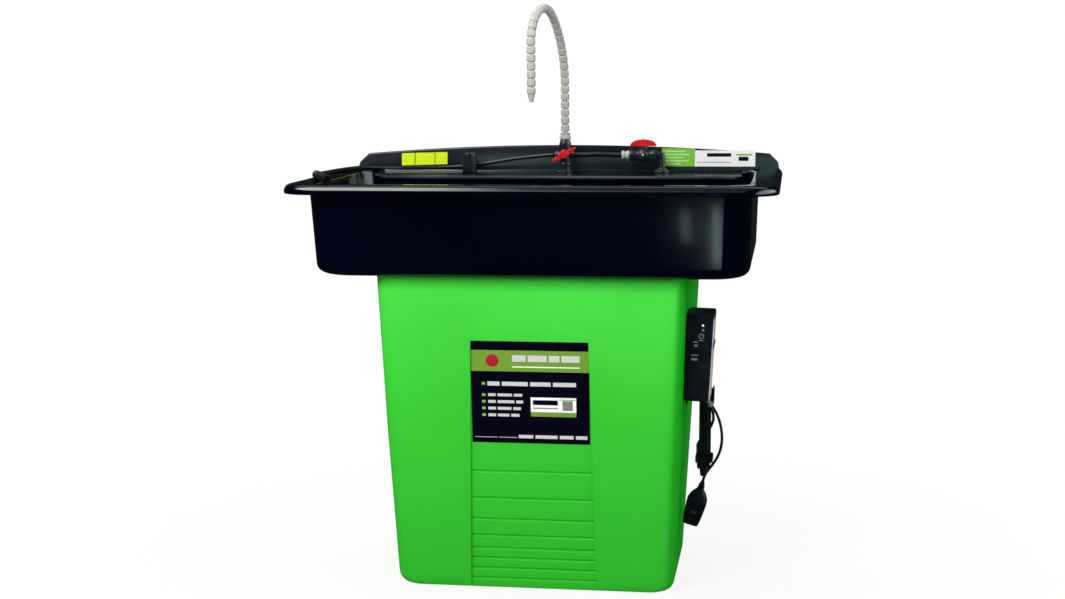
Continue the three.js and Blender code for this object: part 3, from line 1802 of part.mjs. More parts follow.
// Immersion heater through the wall behind the box: a flange inside and a hairpin element
function heaterBody() {
  const inner = -tankWall - seatGap;
  return alongX(turned([
    [0, -seatGap],
    [heaterShank / 2, -seatGap],
    [heaterShank / 2, inner],
    [heaterFlange / 2, inner],
    [heaterFlange / 2, inner - heaterFlangeThickness],
    [0, inner - heaterFlangeThickness],
  ])).translate(0, heaterBack, heaterZ);
}

function heaterElement() {
  const start = -tankWall - seatGap * 2 - heaterFlangeThickness;
  const half = heaterLoop / 2;
  const turn = start - heaterReach + half;
  const bend = count(5).map((i) => {
    const angle = Math.PI / 2 * (i + 1) / 3;
    return spot(turn - half * Math.sin(angle), 0, half * Math.cos(angle));
  });
  const route = [
    spot(start, 0, half),
    spot((start + turn) / 2, 0, half),
    ...bend,
    spot((start + turn) / 2, 0, -half),
    spot(start, 0, -half),
  ];
  return tube(route, heaterRod, smallSides, heaterSteps).translate(0, heaterBack, heaterZ);
}

piece('heater_body', heaterBody(), brass, side);
piece('heater_element', heaterElement(), steel, side);

// Level switch: a forked stem through the wall, a hinged float and its pin
const forkEnd = -tankWall - switchNeck - switchForkLength;
const hingeX = forkEnd + switchForkLength / 2;

function switchBody() {
  const inner = -tankWall - seatGap;
  const stem = alongX(turned([
    [0, -seatGap],
    [switchShank / 2, -seatGap],
    [switchShank / 2, inner],
    [switchFlange / 2, inner],
    [switchFlange / 2, inner - switchForkWidth / 4],
    [switchShank / 2, inner - switchForkWidth / 2],
    [switchShank / 2, -tankWall - switchNeck],
    [0, -tankWall - switchNeck],
  ]));
  const fork = plainBox(
    forkEnd,
    -tankWall - switchNeck + seatGap,
    -switchForkWidth / 2,
    switchForkWidth / 2,
    -switchForkWidth / 2,
    switchForkWidth / 2,
  );
  const slot = plainBox(
    forkEnd - cutOverrun,
    -tankWall - switchNeck + switchForkWidth / 4,
    -switchSlot / 2,
    switchSlot / 2,
    -switchForkWidth,
    switchForkWidth,
  );
  const bore = alongY(rod(floatPin + runningGap * 2, -switchForkWidth, switchForkWidth, smallSides))
    .translate(hingeX, 0, 0);
  return cut(join(stem, fork), slot, bore).translate(0, switchBack, switchRise);
}

function switchFloat() {
  const reach = hingeX - floatArm;
  const arm = plainBox(
    reach - seatGap,
    hingeX + switchSlot / 2,
    -switchSlot / 2 + runningGap,
    switchSlot / 2 - runningGap,
    -switchSlot / 2,
    switchSlot / 2,
  );
  const body = alongX(turned([
    [0, reach],
    [floatWidth / 2 - floatPin, reach],
    [floatWidth / 2, reach - floatPin],
    [floatWidth / 2, reach - floatLength + floatPin],
    [floatWidth / 2 - floatPin, reach - floatLength],
    [0, reach - floatLength],
  ]));
  const bore = alongY(rod(floatPin + runningGap * 2, -switchSlot, switchSlot, smallSides))
    .translate(hingeX, 0, 0);
  return cut(join(arm, body), bore).translate(0, switchBack, switchRise);
}

const floatPinRod = alongY(rod(
  floatPin,
  -switchForkWidth / 2 - seatGap,
  switchForkWidth / 2 + seatGap,
  smallSides,
)).translate(hingeX, switchBack, switchRise);

piece('level_switch_body', switchBody(), blackPlastic, side);
piece('level_switch_float', switchFloat(), greyPlastic, side);
piece('float_pin', floatPinRod, steel, side);

// Pump cable from behind the box down to the pump, inside the tank
const cableStart = spot(-tankWall * 2 - cableWidth, boxBack - boxEdge, boxLow / 2)
  .applyMatrix4(side.matrixWorld);
piece('pump_cable', tube([
  cableStart,
  spot(cableStart.x - cableWidth, cableStart.y, mix(cableStart.z, pumpTop, cableFallShare)),
  ...cableShares.map(([x, y, z]) => spot(
    mix(cableStart.x, pumpX, x),
    mix(cableStart.y, pumpY, y),
    mix(cableStart.z, pumpTop, z),
  )),
  spot(pumpX - outletOffset / 4, pumpY, mix(cableStart.z, pumpTop, cableEndShare)),
  spot(pumpX - outletOffset / 2, pumpY, pumpTop + seatGap + cableWidth * 2),
  spot(pumpX - outletOffset / 2, pumpY, pumpTop + seatGap + cableWidth),
  spot(pumpX - outletOffset / 2, pumpY, pumpTop + seatGap),
], cableWidth, cordSides, cableSteps), blackRubber);

// Mains cord. Its free ends follow points chosen by hand, and its hank is worked out turn by turn.
const hankXAt = (turns) => hankX + (turns - hankTurns / 2) * hankPitch;

// One turn runs down the front, round the bottom, up the back and over the peg. The middle turn
// hangs lowest.
function hankTurn(turn) {
  const low = hankBottom + hankEndRise * (hankTurns / 2 - turn - 1 / 2) ** 2;
  const down = count(hankStraightSteps).map((i) => [-1, mix(hankTop, low, i / hankStraightSteps)]);
  const up = count(hankStraightSteps).map((i) => [1, mix(low, hankTop, i / hankStraightSteps)]);
  const arc = (level, start) => count(hankBendSteps).map((i) => {
    const angle = start + Math.PI * i / hankBendSteps;
    return [-Math.cos(angle), level - hankRadius * Math.sin(angle)];
  });
  return [...down, ...arc(low, 0), ...up, ...arc(hankTop, Math.PI)];
}

const loopSteps = 2 * (hankStraightSteps + hankBendSteps);
const hankFront = hankY - hankRadius;

function hankRoute() {
  const turns = count(hankTurns).flatMap((turn) => hankTurn(turn).map(([reach, z], step) => spot(
    hankXAt(turn + step / loopSteps),
    hankY + hankRadius * reach,
    z,
  )));
  return [
    spot(hankXAt(0), hankFront, hankStart),
    spot(hankXAt(0), hankFront, hankStart - cordWidth),
    ...turns.slice(hankStraightSteps),
    spot(hankXAt(hankTurns), hankFront, hankTop),
    spot(hankXAt(hankTurns), hankFront, hankTop - cordWidth),
  ];
}

// A tube through given points, with rings square to the path that don't twist
function sweep(points, width, sides) {
  const heading = points.map((_, i) => points[Math.min(i + 1, points.length - 1)].clone()
    .sub(points[Math.max(i - 1, 0)]).normalize());
  let across = spot(1, 0, 0);
  const rings = points.map((p, i) => {
    across = across.clone().addScaledVector(heading[i], -across.dot(heading[i])).normalize();
    const lift = heading[i].clone().cross(across);
    return count(sides).map((k) => {
      const angle = fullTurn * k / sides;
      return p.clone()
        .addScaledVector(across, width / 2 * Math.cos(angle))
        .addScaledVector(lift, width / 2 * Math.sin(angle));
    });
  });
  const start = heading[0];
  const side0 = rings[0][0].clone().sub(points[0]).normalize();
  const side1 = start.clone().cross(side0);
  return loft(rings, (p) => new THREE.Vector2(p.dot(side0), p.dot(side1)));
}

const hankPoints = hankRoute();

// The least clear gap between two stretches of the hank more than one bend apart
function leastGap(points, width) {
  const dense = points.slice(1).flatMap((p, i) => count(6).map((k) => points[i].clone().lerp(p, k / 6)));
  let least = Infinity;
  const skip = hankBendSteps * 6;
  for (let i = 0; i < dense.length; i += 1) {
    for (let j = i + skip; j < dense.length; j += 1) {
      least = Math.min(least, dense[i].distanceTo(dense[j]));
    }
  }
  return least - width;
}

console.log(`hank: least gap to itself ${leastGap(hankPoints, cordWidth).toFixed(2)} mm`);

const leadRoute = [
  [458.92, -166, 479.72],
  [461.9, -166, 472.9],
  [465.2, -165.6, 461],
  [465.4, -164, 443],
  [458.6, -161.2, 424.5],
  [447.4, -157.4, 407],
  [435.6, -153.3, 391.5],
  [427.4, -149.8, 380],
  [423.6, -145.2, 371],
  [423.3, -140.2, 363.5],
  [423.3, -139, 358],
  [423.3, -139, 354.35],
];
const tailRoute = [
  [456.5, -139, 494.1],
  [456.5, -139.1, 486.5],
  [459.8, -142.0, 479],
  [467.0, -146.8, 469.5],
  [475.6, -150.6, 454],
  [483.2, -152.4, 432],
  [487.6, -152.8, 407],
  [488.0, -152.3, 383],
  [484.0, -151.3, 360],
  [476.0, -150.3, 339],
  [465.0, -149.3, 321],
  [454.5, -148.4, 306.5],
  [446.8, -147.5, 295.5],
  [442.5, -147, 287.3],
  [440.25, -147, 279.9],
  [438.09, -147, 272.35],
];
piece('cord_lead', tube(leadRoute.map((p) => spot(...p)), cordWidth, cordSides, cordStretchSteps), blackRubber);
piece('cord_hank', sweep(hankPoints, cordWidth, hankSides), blackRubber);
piece('cord_tail', tube(tailRoute.map((p) => spot(...p)), cordWidth, cordSides, cordStretchSteps), blackRubber);

// Strap round the hank
function cordStrap() {
  const half = hankTurns / 2 * hankPitch + cordWidth / 2 + strapSlack;
  const deep = hankRadius + cordWidth / 2 + strapSlack;
  const ring = (grow) => (z) => roundedRing(
    hankX - half - grow,
    hankX + half + grow,
    hankY - deep - grow,
    hankY + deep + grow,
    cordWidth / 2 + grow,
    cordWidth / 2 + grow,
    z,
    3,
  );
  return cut(
    loft([strapPlace, strapPlace + strapHeight].map(ring(strapThickness))),
    loft([strapPlace - cutOverrun, strapPlace + strapHeight + cutOverrun].map(ring(0))),
  );
}

piece('cord_strap', cordStrap(), blackRubber);

// Plug with a protective switch: moulded body, blades at its back, two buttons at its front
const plug = new THREE.Group();
plug.position.set(plugX, plugY, plugZ);
plug.rotation.y = plugTilt * degree;
washer.add(plug);

const pocket = (place, gap) => plainBox(
  -buttonWidth / 2 - gap,
  buttonWidth / 2 + gap,
  -plugDepth,
  -plugDepth / 2 + buttonDepth + (gap > 0 ? buttonTravel + gap : 0),
  -place - buttonHeight / 2 - gap,
  -place + buttonHeight / 2 + gap,
);

function plugBody() {
  const ring = (width, depth, corner, z, back = depth / 2) => roundedRing(
    -width / 2,
    width / 2,
    back - depth,
    back,
    corner,
    corner,
    z,
    3,
  );
  const flat = plugDepth / 2;
  const body = loft([
    ring(plugTipWidth - plugTipCorner, plugTipDepth - plugTipCorner, plugTipCorner, -plugLength, flat),
    ring(plugTipWidth, plugTipDepth, plugTipCorner, -plugLength + plugTipCorner, flat),
    ring(plugWidth, plugDepth, plugCorner, -plugNeckLength - plugShoulder * 2),
    ring(plugWidth - plugCorner, plugDepth, plugCorner, -plugNeckLength - plugShoulder),
    ...plugNeckShares.map(([width, depth, corner, z]) => ring(
      plugNeckWidth * width,
      plugNeckWidth * depth,
      plugNeckWidth * corner,
      -plugNeckLength * z,
    )),
  ]);
  return cut(body, pocket(resetPlace, runningGap), pocket(testPlace, runningGap));
}

const button = (place) => plainBox(
  -buttonWidth / 2,
  buttonWidth / 2,
  -plugDepth / 2 - buttonProud,
  -plugDepth / 2 + buttonDepth,
  -place - buttonHeight / 2,
  -place + buttonHeight / 2,
);

const plugBack = plugDepth / 2 + seatGap;
const plugBlade = (sign) => plainBox(
  sign * bladeSpacing / 2 - bladeThickness / 2,
  sign * bladeSpacing / 2 + bladeThickness / 2,
  plugBack,
  plugBack + bladeLength,
  -bladePlace - bladeWidth / 2,
  -bladePlace + bladeWidth / 2,
);
const plugGround = alongY(rod(groundPin, plugBack, plugBack + bladeLength, smallSides))
  .translate(0, 0, -groundPlace);

piece('plug_body', plugBody(), blackPlastic, plug);
piece('plug_blade_left', plugBlade(-1), brass, plug);
piece('plug_blade_right', plugBlade(1), brass, plug);
piece('plug_ground_pin', plugGround, brass, plug);
piece('reset_button', button(resetPlace), blackPlastic, plug);
piece('test_button', button(testPlace), greyPlastic, plug);

export default washer;
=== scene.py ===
import math
import random

import bmesh
import bpy
from bpy.props import FloatProperty, FloatVectorProperty, IntProperty, PointerProperty
from mathutils import Matrix, Vector


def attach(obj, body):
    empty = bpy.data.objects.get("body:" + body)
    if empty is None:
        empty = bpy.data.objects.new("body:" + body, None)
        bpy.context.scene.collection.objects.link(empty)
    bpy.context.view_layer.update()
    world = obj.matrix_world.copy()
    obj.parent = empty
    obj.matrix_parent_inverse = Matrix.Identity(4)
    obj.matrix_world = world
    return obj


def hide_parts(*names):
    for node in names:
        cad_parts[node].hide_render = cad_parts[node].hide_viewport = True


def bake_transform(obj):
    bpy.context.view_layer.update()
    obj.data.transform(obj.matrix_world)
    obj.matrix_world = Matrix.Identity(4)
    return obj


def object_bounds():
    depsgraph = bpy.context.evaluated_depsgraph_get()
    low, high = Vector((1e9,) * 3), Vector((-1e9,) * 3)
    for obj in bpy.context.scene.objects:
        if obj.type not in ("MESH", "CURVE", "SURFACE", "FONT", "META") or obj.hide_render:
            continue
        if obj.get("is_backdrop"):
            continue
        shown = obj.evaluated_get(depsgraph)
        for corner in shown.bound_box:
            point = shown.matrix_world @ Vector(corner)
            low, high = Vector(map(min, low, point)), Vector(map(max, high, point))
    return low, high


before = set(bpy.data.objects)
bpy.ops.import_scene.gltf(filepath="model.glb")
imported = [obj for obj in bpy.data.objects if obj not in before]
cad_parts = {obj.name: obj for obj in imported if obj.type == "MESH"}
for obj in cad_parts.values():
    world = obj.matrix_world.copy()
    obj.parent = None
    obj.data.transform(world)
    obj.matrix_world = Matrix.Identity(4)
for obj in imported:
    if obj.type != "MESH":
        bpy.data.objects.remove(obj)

bl_info = {
    "name": "Parts washer",
    "version": (1, 0, 0),
    "blender": (4, 5, 0),
    "location": "3D View > Sidebar > Parts washer",
    "description": "Builds the dressed parts washer on its packed frame",
    "category": "Object",
}

MM = 0.001
CAD_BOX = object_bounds()
WASHER = "washer"

# Places in millimetres that several pieces share
LINE = (340.0, 1117.0)
FAUCET_X, VALVE_X, ELBOW_X, GUIDE_X = 7, 235, 289, -277
FITTING_FOOT = 1066.3
LEDGE_DROP = 15
SPLASH_FOOT, SPLASH_LEAN = 389, 20
BRUSH_REAR = (-590, -215, 1094.6)
BRUSH_FRONT = (-500, -425, 1094.6)


# Shader sockets and finishes

class Socket:
    """One output of a shader node, which takes part in sums like a number"""

    def __init__(self, finish, link):
        self.finish = finish
        self.link = link

    def _sum(self, operation, first, second):
        return self.finish.node("ShaderNodeMath", {"operation": operation}, {0: first, 1: second})

    def __add__(self, other):
        return self._sum("ADD", self, other)

    def __radd__(self, other):
        return self._sum("ADD", other, self)

    def __sub__(self, other):
        return self._sum("SUBTRACT", self, other)

    def __rsub__(self, other):
        return self._sum("SUBTRACT", other, self)

    def __mul__(self, other):
        return self._sum("MULTIPLY", self, other)

    def __truediv__(self, other):
        return self._sum("DIVIDE", self, other)

    def size(self):
        return self.finish.node("ShaderNodeMath", {"operation": "ABSOLUTE"}, {0: self})

    def between(self, low, high, to_low=0.0, to_high=1.0):
        return self.finish.node(
            "ShaderNodeMapRange",
            {"interpolation_type": "SMOOTHSTEP"},
            {"Value": self, "From Min": low, "From Max": high, "To Min": to_low, "To Max": to_high},
        )


class Finish:
    """A material made of nodes, one surface finish of the washer"""

    def __init__(self, name, roughness=0.5, **constants):
        self.material = bpy.data.materials.new(name)
        self.material.use_nodes = True
        self.tree = self.material.node_tree
        self.shader = self.tree.nodes["Principled BSDF"]
        self.shader.inputs["Roughness"].default_value = roughness
        for key, value in constants.items():
            self.shader.inputs[key.replace("_", " ").title().replace("Ior", "IOR")].default_value = value
        self.places = self.node("ShaderNodeTexCoord", output="Object")

    def node(self, kind, settings=None, inputs=None, output=0):
        made = self.tree.nodes.new(kind)
        for key, value in (settings or {}).items():
            setattr(made, key, value)
        for key, value in (inputs or {}).items():
            if isinstance(value, Socket):
                self.tree.links.new(value.link, made.inputs[key])
            else:
                made.inputs[key].default_value = value
        return Socket(self, made.outputs[output])

    def noise(self, scale, detail, rough, places=None):
        return self.node(
            "ShaderNodeTexNoise",
            {},
            {
                "Vector": places or self.places,
                "Scale": scale,
                "Detail": detail,
                "Roughness": rough,
            },
            "Fac",
        )

    def stretched(self, x, y, z):
        return self.node("ShaderNodeMapping", {}, {"Vector": self.places, "Scale": (x, y, z)})

    def axis(self, letter):
        return self.node("ShaderNodeSeparateXYZ", {}, {0: self.places}, letter)

    def blend(self, share, first, second):
        return self.node(
            "ShaderNodeMix",
            {"data_type": "RGBA"},
            {0: share, 6: (*first, 1.0) if isinstance(first, tuple) else first,
             7: (*second, 1.0) if isinstance(second, tuple) else second},
            2,
        )

    def feed(self, name, value):
        if isinstance(value, Socket):
            self.tree.links.new(value.link, self.shader.inputs[name])
        else:
            self.shader.inputs[name].default_value = value
        return self

    def relief(self, height, strength, distance):
        bump = self.node(
            "ShaderNodeBump",
            {},
            {"Height": height, "Strength": strength, "Distance": distance},
            "Normal",
        )
        return self.feed("Normal", bump)

    def shine(self, tint, strength):
        """Puts a glow in the place of the shaded surface"""
        glow = self.node("ShaderNodeEmission", {}, {"Color": tint, "Strength": strength})
        self.tree.links.new(glow.link, self.tree.nodes["Material Output"].inputs["Surface"])


def colour(setting):
    return tuple(setting)[:3]


def sink_finish():
    """Glossy black moulding with a soft orange peel, a few rub marks, worn lips that also carry painted
    highlight lines, and a painted sheen low on the splash
    """
    look = bpy.context.scene.washer_colours
    finish = Finish("black_moulding", specular_ior_level=look.black_gloss, coat_roughness=0.05)
    cloud = finish.noise(3.0, 3.0, 0.6)
    tone = cloud.between(0.35, 0.7)
    dark = colour(look.black_moulding)
    light = tuple(c * 1.3 + 0.0006 for c in dark)
    rub = finish.noise(14.0, 4.0, 0.7, finish.stretched(0.35, 1.0, 3.0)).between(0.58, 0.75)
    body = finish.blend(tone * 0.6 + rub * 0.15, dark, light)
    # The lips of the basin are worn paler by parts that are lifted in and out; the same pale bands along the
    # two lip edges are painted highlight lines
    height, forward = finish.axis("Z"), finish.axis("Y")
    front_edge_wear_and_highlight = (forward + 0.3905).size().between(0.0045, 0.0015) * height.between(1.076, 1.08)
    ledge_edge_wear_and_highlight = (forward - 0.186).size().between(0.0055, 0.002) * height.between(1.056, 1.063)
    middle = finish.axis("X").size().between(0.62, 0.2) * 0.45 + 0.35
    lips_wear_and_highlight = (front_edge_wear_and_highlight + ledge_edge_wear_and_highlight) * middle * finish.noise(7.0, 2.0, 0.5).between(0.2, 0.6, 0.5, 1.0)
    # Pale teal-grey on the lips: partly wear, partly painted highlight
    body = finish.blend(lips_wear_and_highlight, body, (0.2, 0.22, 0.22))
    # Painted sheen: a paler teal-grey patch low on the splash stands in for the reflection seen there
    splash = forward.between(0.37, 0.38)
    low = height.between(1.066, 1.076) * height.between(1.126, 1.1) * finish.axis("X").between(-0.36, -0.2)
    splash_painted_sheen = splash * low * finish.noise(5.0, 2.0, 0.5).between(0.2, 0.6, 0.5, 1.0)
    finish.feed("Base Color", finish.blend(splash_painted_sheen, body, (0.026, 0.05, 0.047)))
    finish.feed("Roughness", 0.12 + tone * 0.04 + rub * 0.03)
    finish.feed("Coat Weight", 0.35 - splash * height.between(1.07, 1.082) * 0.35)
    peel = finish.noise(260.0, 2.0, 0.5)
    slow = finish.noise(22.0, 1.0, 0.4)
    finish.relief(peel * 0.35 + slow, 0.1, 0.0006)
    return finish.material


def tank_finish():
    """Satin green moulding with a fine sprayed grain and slow tone changes; painted light and shade make it
    lighter towards the top and darker towards the foot, with a painted shadow under the sink and painted
    shade on the sides
    """
    look = bpy.context.scene.washer_colours
    finish = Finish("green_moulding", specular_ior_level=0.22)
    slow = finish.noise(2.6, 3.0, 0.55).between(0.3, 0.72)
    speck = finish.noise(420.0, 2.0, 0.6).between(0.45, 0.62)
    green = colour(look.green_moulding)
    lit_top_green = (green[0] * 2.0, green[1] * 1.27, green[2] * 2.2)
    deep_tone_and_shade = (green[0] * 0.8, green[1] * 0.86, green[2] * 0.75)
    shaded_side_green = (green[0] * 0.04, green[1] * 0.74, green[2] * 0.04)
    height = finish.axis("Z")
    # Painted light and shade: lighter towards the top, darker towards the foot
    front = finish.blend(height.between(0.42, 0.84), green, lit_top_green)
    front = finish.blend(height.between(0.45, 0.05), front, deep_tone_and_shade)
    scuff = finish.noise(9.0, 5.0, 0.75, finish.stretched(1.0, 1.0, 0.3)).between(0.64, 0.8)
    front = finish.blend(slow * 0.35 + speck * 0.08 + scuff * 0.15, front, deep_tone_and_shade)
    # Painted shadow: a dark band along the top, under the sink's overhang
    front = finish.blend(height.between(0.797, 0.84) * 0.72, front, tuple(c * 0.3 for c in green))
    # Painted shade: the sides are darker and a deeper green than the front, from the rounded corners on
    reach = finish.axis("X") / (0.369 + height * 0.041)
    finish.feed("Base Color", finish.blend(reach.between(0.93, 0.975), front, shaded_side_green))
    finish.feed("Roughness", 0.46 + slow * 0.08 - scuff * 0.07)
    grain = finish.noise(520.0, 2.0, 0.5)
    ripple = finish.noise(12.0, 2.0, 0.45)
    finish.relief(grain * 0.4 + ripple, 0.13, 0.0007)
    return finish.material


def moulded_finish(name, tint, roughness, gloss, edge=1.7):
    """Small moulded parts: a fine grain, uneven sheen and a worn tone that is paler by the edge factor"""
    finish = Finish(name, specular_ior_level=gloss)
    slow = finish.noise(35.0, 3.0, 0.6).between(0.35, 0.7)
    worn = tuple(min(1.0, c * edge + 0.002) for c in tint)
    finish.feed("Base Color", finish.blend(slow * 0.55, tint, worn))
    finish.feed("Roughness", roughness + slow * 0.1)
    finish.relief(finish.noise(600.0, 2.0, 0.5), 0.12, 0.0003)
    return finish.material


def hose_finish():
    """Warm grey moulded links, a little dirtier in bands along the hose"""
    look = bpy.context.scene.washer_colours
    finish = Finish("grey_plastic", specular_ior_level=0.4)
    tint = colour(look.hose_grey)
    dirt = finish.noise(14.0, 3.0, 0.5, finish.stretched(1.0, 1.0, 2.5)).between(0.42, 0.75)
    speck = finish.noise(300.0, 2.0, 0.5).between(0.6, 0.7)
    dirty = tuple(c * 0.8 for c in tint)
    finish.feed("Base Color", finish.blend(dirt * 0.4 + speck * 0.05, tint, dirty))
    finish.feed("Roughness", 0.36 + dirt * 0.12)
    finish.relief(finish.noise(420.0, 2.0, 0.5), 0.05, 0.0002)
    return finish.material


def rubber_finish(name, tint, roughness, gloss):
    """Extruded hose and cord jacket: faint lengthwise drag, dull patches where it is handled"""
    finish = Finish(name, specular_ior_level=gloss)
    patch = finish.noise(18.0, 3.0, 0.6).between(0.4, 0.7)
    worn = tuple(min(1.0, c * 1.6 + 0.002) for c in tint)
    finish.feed("Base Color", finish.blend(patch * 0.6, tint, worn))
    finish.feed("Roughness", roughness + patch * 0.14)
    finish.relief(finish.noise(900.0, 1.0, 0.4), 0.08, 0.0002)
    return finish.material


def metal_finish(name, tint, roughness=0.3):
    """Brushed or turned metal with fine lines one way and small dull marks"""
    finish = Finish(name, metallic=1.0)
    lines = finish.noise(160.0, 3.0, 0.6, finish.stretched(1.0, 1.0, 22.0))
    marks = finish.noise(40.0, 3.0, 0.6).between(0.5, 0.75)
    dull = tuple(c * 0.72 for c in tint)
    finish.feed("Base Color", finish.blend(marks * 0.5 + lines * 0.2, tint, dull))
    finish.feed("Roughness", roughness + lines * 0.16 + marks * 0.1)
    finish.relief(lines, 0.1, 0.0002)
    return finish.material


def felt_finish():
    """Needled filter felt: clumped fibres, pale above and soiled in patches"""
    finish = Finish("felt", roughness=0.95, sheen_weight=0.25)
    fibre = finish.noise(900.0, 4.0, 0.7)
    clump = finish.noise(90.0, 3.0, 0.6)
    soil = finish.noise(5.0, 4.0, 0.65).between(0.42, 0.68)
    pale = finish.blend(fibre * 0.7 + clump * 0.3, (0.2, 0.2, 0.185), (0.36, 0.36, 0.33))
    finish.feed("Base Color", finish.blend(soil * 0.6, pale, (0.1, 0.095, 0.08)))
    finish.relief(fibre * 0.5 + clump, 0.7, 0.0015)
    return finish.material


def printed_finish(name, tint, roughness=0.42, gloss=0.14):
    """A printed film: even ink with a faint mottle and a soft ripple of the film"""
    finish = Finish(name, specular_ior_level=gloss)
    mottle = finish.noise(120.0, 2.0, 0.5).between(0.4, 0.65)
    finish.feed("Base Color", finish.blend(mottle * 0.3, tint, tuple(c * 0.9 for c in tint)))
    finish.feed("Roughness", roughness + mottle * 0.06)
    finish.relief(finish.noise(30.0, 1.0, 0.4), 0.03, 0.0004)
    return finish.material


FINISHES = {}


def finish_for(name):
    """Each finish is made once, when the first piece asks for it"""
    if name not in FINISHES:
        look = bpy.context.scene.washer_colours
        black = colour(look.fitting_black)
        makers = {
            "sink": sink_finish,
            "tank": tank_finish,
            "hose": hose_finish,
            "felt": felt_finish,
            "fitting": lambda: moulded_finish("fitting_plastic", black, 0.3, 0.4),
            "case": lambda: moulded_finish("case_plastic", (0.0018, 0.0035, 0.009), 0.42, 0.22),
            "grille": lambda: moulded_finish("floor_plastic", (0.006, 0.006, 0.009), 0.42, 0.4),
            "red": lambda: moulded_finish("red_plastic", colour(look.red_plastic), 0.3, 0.42, edge=1.08),
            "nipple": lambda: moulded_finish("pale_plastic", (0.52, 0.55, 0.52), 0.35, 0.45, edge=0.85),
            "relief": lambda: moulded_finish("relief_plastic", (0.2, 0.2, 0.19), 0.45, 0.4, edge=1.2),
            "brush": lambda: moulded_finish("brush_plastic", (0.005, 0.005, 0.007), 0.36, 0.4),
            "bristle": lambda: moulded_finish("bristle_nylon", (0.006, 0.006, 0.008), 0.4, 0.5),
            "hose_rubber": lambda: rubber_finish("hose_rubber", (0.0015, 0.0018, 0.004), 0.32, 0.35),
            "cord_jacket": lambda: rubber_finish("cord_jacket", (0.003, 0.004, 0.009), 0.38, 0.4),
            "key": lambda: moulded_finish("key_plastic", (0.02, 0.022, 0.028), 0.4, 0.35),
            "steel": lambda: metal_finish("steel", (0.56, 0.56, 0.54)),
            "brass": lambda: metal_finish("brass", (0.6, 0.46, 0.2), 0.28),
            "panel": lambda: printed_finish("panel_film", (0.6, 0.57, 0.52), 0.4, 0.4),
            "film_black": lambda: printed_finish("film_black", (0.001, 0.0004, 0.0085), 0.4, 0.1),
            "film_olive": lambda: printed_finish("film_olive", (0.17, 0.34, 0.033)),
            "film_crimson": lambda: printed_finish("film_crimson", (0.42, 0.01, 0.03)),
            "film_white": lambda: printed_finish("film_white", (0.97, 0.97, 0.96)),
            "film_pale": lambda: printed_finish("film_pale", (0.62, 0.63, 0.64)),
            "film_mint": lambda: printed_finish("film_mint", (0.52, 0.82, 0.36)),
            "film_green": lambda: printed_finish("film_green", (0.19, 0.58, 0.045)),
            "film_yellow": lambda: printed_finish("film_yellow", (0.72, 0.93, 0.004)),
            "film_grey": lambda: printed_finish("film_grey", (0.22, 0.22, 0.22)),
        }
        FINISHES[name] = makers[name]()
    return FINISHES[name]


# Shapes

def rounded_ring(x, y, corners, z, segments):
    """The spots round a flat rounded rectangle; corners are the front and the back radius"""
    bm = bmesh.new()
    front, back = corners if isinstance(corners, tuple) else (corners, corners)
    spots = ((x[0], y[0]), (x[1], y[0]), (x[1], y[1]), (x[0], y[1]))
    points = [bm.verts.new((px, py, z)) for px, py in spots]
    bm.faces.new(points)
    for pair, radius in ((points[:2], front), (points[2:], back)):
        bmesh.ops.bevel(
            bm, geom=pair, offset=radius, offset_type="OFFSET", segments=segments,
            profile=0.5, affect="VERTICES", material=-1,
        )
    bm.faces.ensure_lookup_table()
    around = [vert.co.copy() for vert in bm.faces[0].verts]
    bm.free()
    right = max(spot.x for spot in around) - 0.000002
    first = min((i for i, spot in enumerate(around) if spot.x > right), key=lambda i: around[i].y)
    return around[first:] + around[:first]


def push_ring(bm, ring, spots):
    """Extrudes a closed ring of vertices and lays the new one on the given spots"""
    edges = [bm.edges.get((a, b)) for a, b in zip(ring, ring[1:] + ring[:1])]
    made = bmesh.ops.extrude_edge_only(bm, edges=edges)["geom"]
    fresh = {item for item in made if isinstance(item, bmesh.types.BMVert)}
    after = [
        next(e.other_vert(v) for e in v.link_edges if e.other_vert(v) in fresh) for v in ring
    ]
    for vert, spot in zip(after, spots):
        vert.co = spot
    return after


def first_ring(bm, spots):
    ring = [bm.verts.new(spot) for spot in spots]
    for a, b in zip(ring, ring[1:] + ring[:1]):
        bm.edges.new((a, b))
    return ring


def skin(rings, closed=False):
    """A closed skin through rings of spots, capped at its ends unless it closes on itself"""
    bm = bmesh.new()
    start = first_ring(bm, rings[0])
    ring = start
    for spots in rings[1:]:
        ring = push_ring(bm, ring, spots)
    if closed:
        ring = push_ring(bm, ring, rings[0])
        bmesh.ops.remove_doubles(bm, verts=start + ring, dist=0.000001)
    else:
        bm.faces.new(start)
        bm.faces.new(ring)
    bmesh.ops.recalc_face_normals(bm, faces=bm.faces)
    return bm


def loft(rings, segments, closed=False):
    """A skin through rounded rectangles given as (x range, y range, corners, z)"""
    return skin([rounded_ring(*ring, segments) for ring in rings], closed)


def ring_of(x, y, corners, z):
    """A rounded rectangle for loft, from sizes in millimetres"""
    corners = tuple(c * MM for c in corners) if isinstance(corners, tuple) else corners * MM
    return (x[0] * MM, x[1] * MM), (y[0] * MM, y[1] * MM), corners, z * MM


def lathe(outline, steps):
    """Spins an outline of (radius, height) about Z; it runs from the axis or closes on itself"""
    bm = bmesh.new()
    points = [bm.verts.new((r, 0.0, z)) for r, z in outline]
    pairs = list(zip(points, points[1:]))
    if outline[0][0] > 0:
        pairs.append((points[-1], points[0]))
    edges = [bm.edges.new(pair) for pair in pairs]
    bmesh.ops.spin(
        bm, geom=points + edges, cent=(0, 0, 0), axis=(0, 0, 1), dvec=(0, 0, 0),
        angle=math.tau, steps=steps, use_merge=True, use_duplicate=False,
    )
    bmesh.ops.remove_doubles(bm, verts=bm.verts, dist=0.000005)
    bmesh.ops.recalc_face_normals(bm, faces=bm.faces)
    return bm


def millimetres(outline):
    return [(r * MM, z * MM) for r, z in outline]


